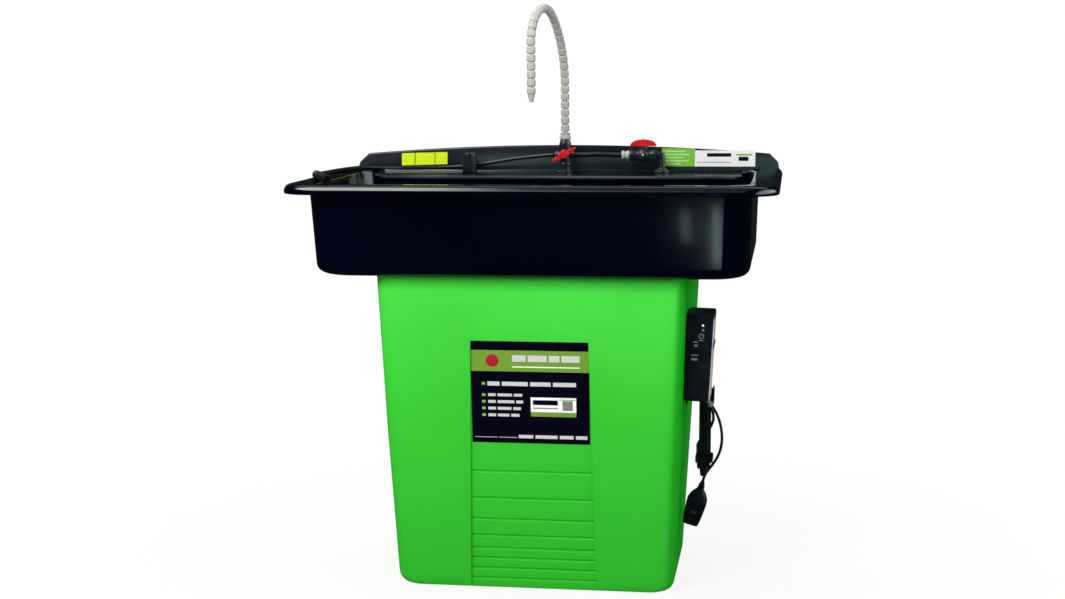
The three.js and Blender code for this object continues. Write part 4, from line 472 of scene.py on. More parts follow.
def rounded(outline, radius, steps=2):
    """Rounds the corners of an outline by cutting each back along its two sides"""
    made = []
    for i, here in enumerate(outline):
        here = Vector(here)
        if i in (0, len(outline) - 1):
            made.append(tuple(here))
            continue
        last, after = Vector(outline[i - 1]), Vector(outline[i + 1])
        back, on = (last - here), (after - here)
        cut = min(radius, back.length * 0.45, on.length * 0.45)
        a, b = here + back.normalized() * cut, here + on.normalized() * cut
        for k in range(steps + 1):
            t = k / steps
            made.append(tuple(a * (1 - t) ** 2 + here * 2 * t * (1 - t) + b * t ** 2))
    return made


def turned(outline, steps, place, radius):
    """A turned body from an outline in millimetres, with softened corners, put in its place"""
    return moved(lathe(millimetres(rounded(outline, radius)), steps), place)


def pushed(spots, start, depth):
    """A flat outline of (x, z) pushed along Y from its start to its depth, in millimetres"""
    bm = bmesh.new()
    face = bm.faces.new([bm.verts.new((x * MM, start * MM, z * MM)) for x, z in spots])
    made = bmesh.ops.extrude_face_region(bm, geom=[face])["geom"]
    tips = [item for item in made if isinstance(item, bmesh.types.BMVert)]
    bmesh.ops.translate(bm, vec=(0, depth * MM, 0), verts=tips)
    bmesh.ops.recalc_face_normals(bm, faces=bm.faces)
    return bm


def block(x, y, z, edge=0.5, segments=2):
    """A block in millimetres with softened edges"""
    bm = bmesh.new()
    size = [hi - lo for lo, hi in (x, y, z)]
    middle = [(hi + lo) / 2 for lo, hi in (x, y, z)]
    bmesh.ops.create_cube(bm, size=1.0)
    bmesh.ops.scale(bm, vec=Vector(size) * MM, verts=bm.verts)
    bmesh.ops.translate(bm, vec=Vector(middle) * MM, verts=bm.verts)
    if edge:
        bmesh.ops.bevel(
            bm, geom=bm.edges, offset=edge * MM, offset_type="OFFSET", segments=segments,
            profile=0.5, affect="EDGES", clamp_overlap=True, material=-1,
        )
    return bm


def joined(*parts):
    """One bmesh from several"""
    whole = bmesh.new()
    for part in parts:
        mesh = bpy.data.meshes.new("part")
        part.to_mesh(mesh)
        part.free()
        whole.from_mesh(mesh)
        bpy.data.meshes.remove(mesh)
    return whole


def moved(bm, matrix):
    bmesh.ops.transform(bm, matrix=matrix, verts=bm.verts)
    return bm


def rod(width, depth, place):
    """A plain round cutter in millimetres"""
    bm = bmesh.new()
    bmesh.ops.create_cone(
        bm, cap_ends=True, segments=32, radius1=width / 2 * MM, radius2=width / 2 * MM, depth=depth * MM,
    )
    return moved(bm, place)


def at(x, y, z):
    return Matrix.Translation(Vector((x, y, z)) * MM)


ALONG_X = Matrix.Rotation(math.pi / 2, 4, "Y")
ALONG_Y = Matrix.Rotation(-math.pi / 2, 4, "X")
TO_FRONT = Matrix.Rotation(math.pi / 2, 4, "X")


def of_node(node):
    """A merged copy of a CAD node, with the cuts across its flat faces taken out"""
    bm = bmesh.new()
    bm.from_mesh(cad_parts[node].data)
    bmesh.ops.remove_doubles(bm, verts=bm.verts, dist=0.00001)
    bmesh.ops.dissolve_limit(bm, angle_limit=math.radians(0.6), verts=bm.verts, edges=bm.edges)
    return bm


def soften(bm, width, angle=35, segments=2, inside=None):
    """Bevels the sharp edges, or those that a test picks"""
    edges = [
        e for e in bm.edges
        if len(e.link_faces) == 2
        and e.calc_face_angle(0.0) > math.radians(angle)
        and (inside is None or inside(e))
    ]
    bmesh.ops.bevel(
        bm, geom=edges, offset=width * MM, offset_type="OFFSET", segments=segments,
        profile=0.5, affect="EDGES", clamp_overlap=True, material=-1,
    )
    return bm


def set_piece(name, bm, finish, body=WASHER, stands_for=(), slot=None, sharp=38, weighted=False):
    """Makes the object from a bmesh, shades it and lets it ride on its body"""
    for face in bm.faces:
        face.smooth = True
    for edge in bm.edges:
        edge.smooth = not (
            len(edge.link_faces) == 2 and edge.calc_face_angle(0.0) > math.radians(sharp)
        )
    mesh = bpy.data.meshes.new(name)
    bm.to_mesh(mesh)
    bm.free()
    mesh.materials.append(finish_for(finish))
    piece = bpy.data.objects.new(name, mesh)
    bpy.context.scene.collection.objects.link(piece)
    if weighted:
        shade = piece.modifiers.new("Even shading", "WEIGHTED_NORMAL")
        shade.keep_sharp = True
        shade.weight = 80
    if body:
        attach(piece, body)
    if stands_for:
        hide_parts(*stands_for)
    return piece


def set_lock_nut(name, node):
    """A lock nut under the ledge: the CAD one with softened edges"""
    nut = soften(of_node(node), 0.6)
    set_piece(name, nut, "fitting", WASHER, [node], "black_plastic", weighted=True)


def set_plate(name, wide, tall, depth, finish, place):
    """A thin printed plate; its depth runs from the outer face to the inner one"""
    bm = block((-wide / 2, wide / 2), depth, (-tall / 2, tall / 2), 0.15, 1)
    set_piece(name, moved(bm, place), finish, WASHER, (), "black_plastic")


def dress(node, finish):
    """Keeps a CAD node and gives it its finish"""
    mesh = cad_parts[node].data
    mesh.materials.clear()
    mesh.materials.append(finish_for(finish))


def carved(bm, cutters, mode="DIFFERENCE"):
    """Cuts or joins solids with the exact boolean, and returns the result as a bmesh"""
    def as_object(shape, name):
        mesh = bpy.data.meshes.new(name)
        shape.to_mesh(mesh)
        shape.free()
        made = bpy.data.objects.new(name, mesh)
        bpy.context.scene.collection.objects.link(made)
        return made

    base = as_object(bm, "carving")
    tools = [as_object(cutter, "cutter") for cutter in cutters]
    for tool in tools:
        step = base.modifiers.new("Cut", "BOOLEAN")
        step.operation = mode
        step.solver = "EXACT"
        step.object = tool
    bpy.context.view_layer.update()
    result = bmesh.new()
    result.from_mesh(base.evaluated_get(bpy.context.evaluated_depsgraph_get()).to_mesh())
    for spent in [base, *tools]:
        mesh = spent.data
        bpy.data.objects.remove(spent)
        bpy.data.meshes.remove(mesh)
    bmesh.ops.remove_doubles(result, verts=result.verts, dist=0.00001)
    return result


def smooth_path(points, steps):
    """Points along a centripetal Catmull-Rom curve through the given ones"""
    spots = [Vector(p) for p in points]
    spots = [spots[0] * 2 - spots[1], *spots, spots[-1] * 2 - spots[-2]]
    made = []
    for p0, p1, p2, p3 in zip(spots, spots[1:], spots[2:], spots[3:]):
        d0, d1, d2 = (max((b - a).length, 1e-6) ** 0.5 for a, b in ((p0, p1), (p1, p2), (p2, p3)))
        m1 = (p1 - p0) / d0 - (p2 - p0) / (d0 + d1) + (p2 - p1) / d1
        m2 = (p2 - p1) / d1 - (p3 - p1) / (d1 + d2) + (p3 - p2) / d2
        m1, m2 = m1 * d1, m2 * d1
        for k in range(steps):
            t = k / steps
            made.append(
                p1 * (2 * t ** 3 - 3 * t ** 2 + 1) + m1 * (t ** 3 - 2 * t ** 2 + t)
                + p2 * (3 * t ** 2 - 2 * t ** 3) + m2 * (t ** 3 - t ** 2)
            )
    return made + [spots[-2]]


def path_length(path):
    return sum((b - a).length for a, b in zip(path, path[1:]))


def swept(path, width, sides):
    """A tube along a path of metres: a circle pushed from point to point"""
    heading = [
        (path[min(i + 1, len(path) - 1)] - path[max(i - 1, 0)]).normalized() for i in range(len(path))
    ]
    across = heading[0].orthogonal().normalized()
    rings = []
    for centre, ahead in zip(path, heading):
        across = (across - ahead * across.dot(ahead)).normalized()
        up = ahead.cross(across)
        rings.append([
            centre + (across * math.cos(a) + up * math.sin(a)) * width / 2
            for a in (math.tau * k / sides for k in range(sides))
        ])
    return skin(rings)


# Settings that a user would change

def length(name, description, default):
    return FloatProperty(name=name, description=description, default=default, unit="LENGTH")


def power(name, description, default):
    return FloatProperty(name=name, description=description, default=default, unit="POWER")


def tint(name, description, default):
    return FloatVectorProperty(name=name, description=description, subtype="COLOR", default=default)


class SinkSettings(bpy.types.PropertyGroup):
    rim: length("Rim height", "Rim above the floor", 1.081)
    roll: length("Rim roll", "Radius of the rolled rim", 0.0195)
    splash: length("Splash rise", "Middle of the splash above the rim", 0.061)


class TankSettings(bpy.types.PropertyGroup):
    grooves: IntProperty(name="Grooves", description="Grooves in the front recess", default=8, min=0, max=12)


class HoseSettings(bpy.types.PropertyGroup):
    pitch: length("Link pitch", "Ball to ball", 0.0226)
    width: length("Link width", "Widest part of a link", 0.0244)
    sides: IntProperty(name="Sides", description="Sides round a link", default=32, min=12, max=64)


class CordSettings(bpy.types.PropertyGroup):
    mains: length("Mains cord", "Diameter of the mains cord", 0.0075)
    brush: length("Brush hose", "Diameter of the brush hose", 0.011)
    turns: IntProperty(
        name="Hank turns", description="Turns of the hank on its peg", default=4, min=1, max=24,
    )


class ColourSettings(bpy.types.PropertyGroup):
    black_moulding: tint("Sink", "Sink moulding", (0.0002, 0.0002, 0.006))
    black_gloss: FloatProperty(
        name="Sink gloss", description="Reflection of the sink", default=0.26, min=0.0, max=1.0,
    )
    green_moulding: tint("Tank", "Tank moulding", (0.031, 0.57, 0.025))
    fitting_black: tint("Fittings", "Black fittings", (0.008, 0.013, 0.015))
    red_plastic: tint("Handles", "Red handles", (0.7, 0.008, 0.01))
    hose_grey: tint("Modular hose", "Modular hose", (0.62, 0.615, 0.57))


class StageSettings(bpy.types.PropertyGroup):
    key: power("Key light", "Power of the key light", 135.0)
    fill: power("Fill light", "Power of the fill light", 18.0)
    top: power("Top light", "Power of the overhead light", 40.0)
    side: power("Side light", "Power of the light on the right", 30.0)
    ambient: FloatProperty(name="Ambient", description="Even light from all round", default=0.34)


# Stage: camera, lights, floor and dark studio walls

def soft_light(name, energy, size, place, aim):
    lamp = bpy.data.lights.new(name, "AREA")
    lamp.shape = "RECTANGLE"
    lamp.size, lamp.size_y = size
    lamp.energy = energy
    holder = bpy.data.objects.new(name, lamp)
    holder.location = place
    holder.rotation_euler = (Vector(aim) - Vector(place)).to_track_quat("-Z", "Y").to_euler()
    holder.visible_glossy = False
    bpy.context.scene.collection.objects.link(holder)


def studio_object(name, bm, finish):
    mesh = bpy.data.meshes.new(name)
    bm.to_mesh(mesh)
    bm.free()
    mesh.materials.append(finish.material)
    made = bpy.data.objects.new(name, mesh)
    bpy.context.scene.collection.objects.link(made)
    return made


def reflections_only(card):
    """Hides a card from all but reflections"""
    for sight in ("camera", "diffuse", "shadow", "transmission"):
        setattr(card, f"visible_{sight}", False)


# The camera, fitted to the photograph: millimetres, degrees, and pixels for the lens
CAMERA_PLACE = (675.8, -4746.3, 1387.9)
CAMERA_TURNS = (8.593, 7.728, -0.393)
FOCAL_LENGTH, PICTURE_WIDTH = 1754.02, 1065.0
SENSOR = 36.0

# Where the reflections of the dark walls are worked out from: above the sink's front
WALLS_FROM = (0, -0.44, 1.07)

# Narrow cards that only reflections see: name, width and height, place, turn in degrees, strength
GLOSS_CARDS = (
    ("card_low_1", (0.050, 0.80), (0.374, -2.65, 0.01), -3.0, 6.5),
    ("card_low_2", (0.056, 0.44), (0.246, -2.76, 0.01), -5.0, 3.0),
)


def gloss_card(name, size, place, turn, strength):
    """A glowing card with soft edges for reflections only"""
    bm = bmesh.new()
    bmesh.ops.create_grid(bm, x_segments=1, y_segments=1, size=0.5)
    bmesh.ops.scale(bm, vec=(size[0], size[1], 1.0), verts=bm.verts)
    finish = Finish(name, roughness=1.0)
    fade = 1.0
    for letter, wide in zip("XY", size):
        fade = finish.axis(letter).size().between(wide * 0.5, wide * 0.22) * fade
    finish.shine((0.7, 1.0, 0.96, 1), fade * strength)
    card = studio_object(name, bm, finish)
    card.location = place
    card.rotation_euler = (0.0, 0.0, math.radians(turn))
    reflections_only(card)
    card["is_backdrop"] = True


class WASHER_OT_stage(bpy.types.Operator):
    """Sets the camera, the floor, the studio walls and the soft lights"""

    bl_idname = "washer.stage"
    bl_label = "Stage"

    def execute(self, context):
        scene = context.scene
        stage = scene.washer_stage
        scene.view_settings.view_transform = "Standard"
        self.camera(scene)
        self.world(scene, stage)
        self.floor()
        self.walls()
        soft_light("Key", stage.key, (1.8, 1.4), (-1.6, -3.4, 3.5), (0, -0.2, 0.6))
        soft_light("Fill", stage.fill, (2.0, 2.0), (1.4, -5.4, 1.3), (0, 0, 0.5))
        soft_light("Top", stage.top, (2.2, 0.7), (-0.6, 1.2, 3.6), (-0.1, 0.2, 1.0))
        soft_light("Side", stage.side, (1.6, 2.0), (4.2, -1.4, 1.2), (0.4, 0.0, 0.5))
        for card in GLOSS_CARDS:
            gloss_card(*card)
        return {"FINISHED"}

    def camera(self, scene):
        lens = bpy.data.cameras.new("Camera")
        lens.sensor_fit = "HORIZONTAL"
        lens.sensor_width = SENSOR
        lens.lens = FOCAL_LENGTH * SENSOR / PICTURE_WIDTH
        lens.clip_start, lens.clip_end = 0.05, 100.0
        yaw, pitch, roll = (math.radians(a) for a in CAMERA_TURNS)
        ahead = Vector((
            -math.sin(yaw) * math.cos(pitch),
            math.cos(yaw) * math.cos(pitch),
            -math.sin(pitch),
        ))
        right = Vector((math.cos(yaw), math.sin(yaw), 0.0))
        up = right.cross(ahead)
        across = right * math.cos(roll) + up * math.sin(roll)
        above = up * math.cos(roll) - right * math.sin(roll)
        holder = bpy.data.objects.new("Camera", lens)
        turn = Matrix((across, above, -ahead)).transposed().to_4x4()
        holder.matrix_world = at(*CAMERA_PLACE) @ turn
        scene.collection.objects.link(holder)
        scene.camera = holder

    def world(self, scene, stage):
        world = bpy.data.worlds.new("Studio")
        world.use_nodes = True
        tree = world.node_tree
        path = tree.nodes.new("ShaderNodeLightPath")
        seen = tree.nodes.new("ShaderNodeMath")
        seen.operation = "MAXIMUM"
        through = tree.nodes.new("ShaderNodeMath")
        through.operation = "MAXIMUM"
        tree.links.new(path.outputs["Is Camera Ray"], seen.inputs[0])
        tree.links.new(path.outputs["Is Glossy Ray"], seen.inputs[1])
        tree.links.new(seen.outputs[0], through.inputs[0])
        tree.links.new(path.outputs["Is Transmission Ray"], through.inputs[1])
        strength = tree.nodes.new("ShaderNodeMix")
        strength.data_type = "FLOAT"
        strength.inputs[2].default_value = stage.ambient
        strength.inputs[3].default_value = 1.0
        tree.links.new(through.outputs[0], strength.inputs[0])
        background = tree.nodes["Background"]
        background.inputs["Color"].default_value = (1.0, 1.0, 1.0, 1.0)
        tree.links.new(strength.outputs[0], background.inputs["Strength"])
        scene.world = world

    def floor(self):
        bm = bmesh.new()
        bmesh.ops.create_grid(bm, x_segments=1, y_segments=1, size=30.0)
        finish = Finish("studio_floor", roughness=0.9, specular_ior_level=0.1)
        finish.feed("Base Color", (0.9, 0.9, 0.9, 1.0))
        tree = finish.tree
        glow = finish.node("ShaderNodeEmission", {}, {"Color": (1, 1, 1, 1), "Strength": 1.0})
        path = tree.nodes.new("ShaderNodeLightPath")
        mixer = tree.nodes.new("ShaderNodeMixShader")
        tree.links.new(self.whitening(finish, path).link, mixer.inputs[0])
        tree.links.new(finish.shader.outputs[0], mixer.inputs[1])
        tree.links.new(glow.link, mixer.inputs[2])
        tree.links.new(mixer.outputs[0], tree.nodes["Material Output"].inputs["Surface"])
        floor = studio_object("studio_floor", bm, finish)
        floor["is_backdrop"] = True

    def whitening(self, finish, path):
        """White where the camera sees the floor far off, its own tone and shadow near the tank"""
        far = finish.node("ShaderNodeVectorMath", {"operation": "LENGTH"}, {0: finish.places}, "Value")
        return Socket(finish, path.outputs["Is Camera Ray"]) * far.between(0.2, 1.8, 0.87, 1.0)

    def walls(self):
        """Dark cards that only reflections see, so that the black mouldings stay black"""
        bm = bmesh.new()
        bmesh.ops.create_cone(bm, cap_ends=False, segments=48, radius1=9.0, radius2=9.0, depth=8.0)
        bmesh.ops.translate(bm, vec=(0, 0, 4.002), verts=bm.verts)
        bmesh.ops.holes_fill(bm, edges=bm.edges)
        finish = Finish("studio_cards", roughness=1.0)
        away = finish.node(
            "ShaderNodeVectorMath", {"operation": "SUBTRACT"}, {0: finish.places, 1: WALLS_FROM},
        )
        ahead = finish.node("ShaderNodeVectorMath", {"operation": "NORMALIZE"}, {0: away})
        x, y, z = (finish.node("ShaderNodeSeparateXYZ", {}, {0: ahead}, letter) for letter in "XYZ")
        front = y.between(0.1, -0.15)
        left = x.between(-0.15, -0.26) * z.between(0.52, 0.64) * front
        strip = x.between(0.3, 0.2) * (x.between(0.0, -0.2) * 0.7 + 0.3)
        strip = strip * z.between(0.5, 0.6) * z.between(0.82, 0.7) * front
        over = z.between(0.82, 0.9) * front
        behind = y.between(0.1, 0.35) * z.between(0.6, 0.75)
        right = x.between(0.7, 0.85) * z.between(0.05, 0.2)
        strength = 0.015 + left * 11.0 + strip * 2.6 + over * 0.5 + behind * 1.0 + right * 5.0
        finish.shine(finish.blend(left, (0.75, 1.0, 0.94), (1.0, 0.97, 0.92)), strength)
        cards = studio_object("studio_cards", bm, finish)
        reflections_only(cards)
        cards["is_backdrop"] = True


# Cords and hoses

LEAD = (
    (458.92, -166, 479.72), (461.9, -166, 472.9), (465.2, -165.6, 461), (465.4, -164, 443),
    (458.6, -161.2, 424.5), (447.4, -157.4, 407), (435.6, -153.3, 391.5), (427.4, -149.8, 380),
    (423.6, -145.2, 371), (423.3, -140.2, 363.5), (423.3, -139, 358),
)
TAIL = (
    (456.5, -139.1, 486.5), (459.8, -142, 479), (467, -146.8, 469.5), (475.6, -150.6, 454),
    (483.2, -152.4, 432), (487.6, -152.8, 407), (488, -152.3, 383), (484, -151.3, 360),
    (476, -150.3, 339), (465, -149.3, 321), (454.5, -148.4, 306.5), (446.8, -147.5, 295.5),
    (442.5, -147, 287.3), (440.25, -147, 279.9), (438.09, -147, 272.35),
)
BRUSH_HOSE = (
    (-21.3, 340, 1117), (-33, 340, 1117), (-62, 342, 1114.5), (-105, 347, 1110),
    (-155, 354, 1103.5), (-215, 363, 1093.5), (-277, 369, 1084), (-340, 369, 1079),
    (-410, 360, 1077), (-475, 334, 1077.8), (-525, 292, 1081.5), (-562, 232, 1086.5),
    (-588, 152, 1087.4), (-603, 76, 1087.2), (-610, -4, 1087.4), (-610, -80, 1088.6),
    (-607, -140, 1091), (-600.5, -183, 1094), (-594.9, -203.6, 1094.6), (-590.15, -214.6, 1094.6),
)
PRONGS = ("plug_blade_left", "plug_blade_right", "plug_ground_pin")
HANK = {"x": 439.9, "y": -115.0, "pitch": 8.3, "radius": 24.0, "top": 502.0, "bottom": 304.0, "rise": 10.0}


def hank_route(turns):
    """One turn runs down the front, round the bottom, up the back and over the peg"""
    straight, bend = 4, 12
    loop = 2 * (straight + bend)
    route = []
    for turn in range(turns):
        low = HANK["bottom"] + HANK["rise"] * (turns / 2 - turn - 0.5) ** 2
        stops = [(-1.0, HANK["top"] + (low - HANK["top"]) * i / straight) for i in range(straight)]
        stops += [
            (-math.cos(math.pi * i / bend), low - HANK["radius"] * math.sin(math.pi * i / bend))
            for i in range(bend)
        ]
        stops += [(1.0, low + (HANK["top"] - low) * i / straight) for i in range(straight)]
        stops += [
            (math.cos(math.pi * i / bend), HANK["top"] + HANK["radius"] * math.sin(math.pi * i / bend))
            for i in range(bend)
        ]
        for step, (reach, z) in enumerate(stops):
            if turn == 0 and step < straight:
                continue
            x = HANK["x"] + (turn + step / loop - turns / 2) * HANK["pitch"]
            route.append((x, HANK["y"] + HANK["radius"] * reach, z))
    last = HANK["x"] + turns / 2 * HANK["pitch"]
    front = HANK["y"] - HANK["radius"]
    return route + [(last, front, HANK["top"]), (last, front, HANK["top"] - 7.5)]


class WASHER_OT_cords(bpy.types.Operator):
    """Lays the mains cord with its hank and strap, and the brush hose"""

    bl_idname = "washer.cords"
    bl_label = "Cords"

    def execute(self, context):
        sizes = context.scene.washer_cords
        self.mains(sizes)
        self.brush_hose(sizes)
        self.strap()
        return {"FINISHED"}

    def mains(self, sizes):
        spots = [Vector(p) * MM for p in (*LEAD, *hank_route(sizes.turns), *TAIL)]
        path = smooth_path(spots, 5)
        curve = bpy.data.curves.new("mains_cord", "CURVE")
        curve.dimensions = "3D"
        curve.bevel_depth = sizes.mains / 2
        curve.bevel_resolution = 4
        curve.use_fill_caps = True
        spline = curve.splines.new("POLY")
        spline.points.add(len(path) - 1)
        for point, spot in zip(spline.points, path):
            point.co = (*spot, 1.0)
        curve.materials.append(finish_for("cord_jacket"))
        cord = bpy.data.objects.new("mains_cord", curve)
        bpy.context.scene.collection.objects.link(cord)
        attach(cord, WASHER)
        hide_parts("cord_lead", "cord_hank", "cord_tail")
        tuple(path[0])
        path_length(path)

    def brush_hose(self, sizes):
        # The hose runs on through the handle, which it feeds
        aim = (Vector(BRUSH_FRONT) - Vector(BRUSH_REAR)).normalized()
        last = Vector(BRUSH_HOSE[-1])
        inside = [tuple(last + aim * reach) for reach in (30, 60, 90)]
        path = smooth_path([Vector(p) * MM for p in (*BRUSH_HOSE, *inside)], 6)
        bm = swept(path, sizes.brush, 18)
        hose = set_piece("brush_hose_jacket", bm, "hose_rubber", None, (), "black_rubber")
        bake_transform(hose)
        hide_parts("brush_hose")
        tuple(path[0])
        path_length(path)
        [tuple(p) for p in path]

    def strap(self):
        bm = of_node("cord_strap")
        soften(bm, 0.5)
        set_piece("hank_strap", bm, "cord_jacket", WASHER, ["cord_strap"], "black_rubber", weighted=True)


# Sink

RIM_HALF = (635.0, 445.0)
RIM_CORNER = 95
BASIN_FRONT, BASIN_BACK = -390, 184
BODY_HALF = (569.0, 410.0)
SINK_LOW = 842.0
DRAIN_Y = -103.0


def ring_mm(half_x, half_y, corner, z, middle_y=0.0):
    return ring_of((-half_x, half_x), (middle_y - half_y, middle_y + half_y), corner, z)


def quarter(steps):
    """Sine and cosine from 0 to a right angle"""
    return [
        (math.sin(math.pi / 2 * i / steps), math.cos(math.pi / 2 * i / steps)) for i in range(steps + 1)
    ]


class WASHER_OT_sink(bpy.types.Operator):
    """Moulds the sink: basin, rolled rim, ledge, channel and arched splash"""

    bl_idname = "washer.sink"
    bl_label = "Sink"

    def execute(self, context):
        sink = context.scene.washer_sink
        rim = sink.rim / MM
        body = self.tub(rim, sink.roll / MM)
        splash = carved(self.splash(rim, sink.splash / MM), [self.outline(rim)], "INTERSECT")
        body = carved(body, [splash], "UNION")
        body = carved(body, [self.ledge(rim), self.channel(), self.window(), *self.holes()])
        bmesh.ops.dissolve_degenerate(body, dist=0.00005, edges=body.edges)
        set_piece(
            "sink_moulding", body, "sink", WASHER, ["sink"], "black_moulding", sharp=50, weighted=True,
        )
        return {"FINISHED"}

    def tub(self, rim, roll):
        """The open tub, in rings from its foot, up the outside, over the rim and down the basin"""
        def edge(inset, z):
            return ring_mm(RIM_HALF[0] - inset, RIM_HALF[1] - inset, RIM_CORNER - inset, z)
        lip = rim - 25
        rings = [ring_mm(23, 23, 22.9, SINK_LOW, DRAIN_Y)]
        for s, c in quarter(7):
            rings.append(ring_mm(563 - 38 * (1 - s), 382 - 24 * (1 - s), 70, SINK_LOW + 28 * (1 - c)))
        rings += [
            ring_mm(*BODY_HALF, 70, lip),
            ring_mm(*BODY_HALF, 70, rim - 10),
            ring_mm(BODY_HALF[0] + 3, BODY_HALF[1] + 3, 73, rim - 7),
        ]
        rings += [edge(inset, z) for inset, z in (
            (10, rim - 7), (7, rim - 10), (7, lip + 2), (5.5, lip), (2.5, lip), (0.6, lip + 2), (0, lip + 5),
        )]
        rings += [edge(roll * (1 - c), rim - roll * (1 - s)) for s, c in quarter(7)]
        middle, half = (BASIN_BACK + BASIN_FRONT) / 2, (BASIN_BACK - BASIN_FRONT) / 2
        rings.append(ring_mm(RIM_HALF[0] - 30, RIM_HALF[1] - 24, 80, rim + 0.4))
        for s, c in quarter(4):
            grow = 6 * (1 - s)
            rings.append(ring_mm(560 + grow, half + grow, 60 + grow, rim - 6 * (1 - c), middle))
        shelf = (545, half - 18)
        for inset, corner, z in (
            (-0.4, 56, 911), (2, 54, 906.5), (6, 52, 905), (20, 42, 905),
            (22.5, 40.5, 903), (23, 40, 899), (23, 40, 862), (26, 38, 858),
        ):
            rings.append(ring_mm(shelf[0] - inset, shelf[1] - inset, corner, z, middle))
        rings += [ring_mm(34, 34, 33.9, 853, DRAIN_Y), ring_mm(23, 23, 22.9, 853, DRAIN_Y)]
        return loft(rings, 9, closed=True)

    def splash(self, rim, rise):
        """A leaning ridge, pushed across in slices whose tops follow an arch"""
        ledge = rim - LEDGE_DROP
        end = RIM_HALF[0] - 4.5
        shoulder = end - 34
        stops = [(-end, rim + 5)]
        for i in range(41):
            x = -shoulder + 2 * shoulder * i / 40
            stops.append((x, rim + 37 + (rise - 37) * (1 - (x / shoulder) ** 2)))
        stops.append((end, rim + 5))
        rings = []
        for x, top in stops:
            lean = SPLASH_LEAN * (top - ledge) / (rise + LEDGE_DROP)
            crest = SPLASH_FOOT + lean
            back = crest + 14
            spots = [(SPLASH_FOOT, ledge - 3), (SPLASH_FOOT, ledge)]
            spots.append((SPLASH_FOOT + lean * 0.4, ledge + (top - ledge) * 0.4))
            spots += [(crest + 4 * (1 - c), top - 4 * (1 - s)) for s, c in quarter(4)]
            spots += [(back, top), (back + 1, top - 1.5)]
            spots += [(back + 4, (top + rim) / 2), (back + 10, rim - 3), (back + 10, ledge - 3)]
            rings.append([Vector((x, y, z)) * MM for y, z in spots])
        return skin(rings)

    def outline(self, rim):
        return loft([ring_mm(*RIM_HALF, RIM_CORNER, z) for z in (rim - 21, rim + 122)], 12)

    def ledge(self, rim):
        """The recess over the ledge, with a rounded foot at its back and ends"""
        ledge = rim - LEDGE_DROP
        rings = []
        for s, c in quarter(4):
            inset = 6 * (1 - s)
            rings.append(ring_of(
                (-572 + inset, 572 - inset), (178, SPLASH_FOOT - inset),
                (0.5, 30 - inset * 0.5), ledge + 6 * (1 - c),
            ))
        rings.append(ring_of((-572, 572), (178, SPLASH_FOOT), (0.5, 30), rim + 70))
        return loft(rings, 8)

    def channel(self):
        """The hollow under the ledge, which the hose and the nuts stand in"""
        return loft([ring_of((-500, 500), y, 20, z) for y, z in (((179, 375), 853), ((197, 403), 1059))], 6)

    def window(self):
        """The opening from the hollow down into the tank"""
        return loft([ring_of((-310, 310), (219, 339), 20, z) for z in (838, 857)], 6)

    def holes(self):
        return [
            rod(width, 20, at(x, LINE[0], 1062))
            for x, width in ((FAUCET_X, 20.8), (ELBOW_X, 20.8), (GUIDE_X, 12.8))
        ]


# Tank

FOOT_HALF, MID_HALF, TOP_HALF = 369.0, 389.0, 403.0
TANK_TOP = 841.7
TANK_WAIST = TANK_TOP / 2
TANK_WALL = 7
FRONT_LEAN, BACK_LEAN = 66, 239
RECESS_FOOT, RECESS_HEAD, RECESS_TOP, RECESS_DEPTH = 336, 308, 674, 7


def tank_front(z):
    return -(290 + FRONT_LEAN * z / TANK_TOP)


def tank_back(z):
    return 145 + BACK_LEAN * z / TANK_TOP


def tank_half(z):
    if z < TANK_WAIST:
        return FOOT_HALF + (MID_HALF - FOOT_HALF) * z / TANK_WAIST
    return MID_HALF + (TOP_HALF - MID_HALF) * (z - TANK_WAIST) / TANK_WAIST


def recess_half(z):
    """Half the width of the front recess, which narrows towards its top"""
    return (RECESS_FOOT + (RECESS_HEAD - RECESS_FOOT) * z / RECESS_TOP) / 2


def box_frame():
    """The frame that the box, its gland and its peg share: tilted with the tank's wall"""
    tilt = math.atan((TOP_HALF - MID_HALF) / TANK_WAIST)
    return at(tank_half(624), -215, 624) @ Matrix.Rotation(tilt, 4, "Y")


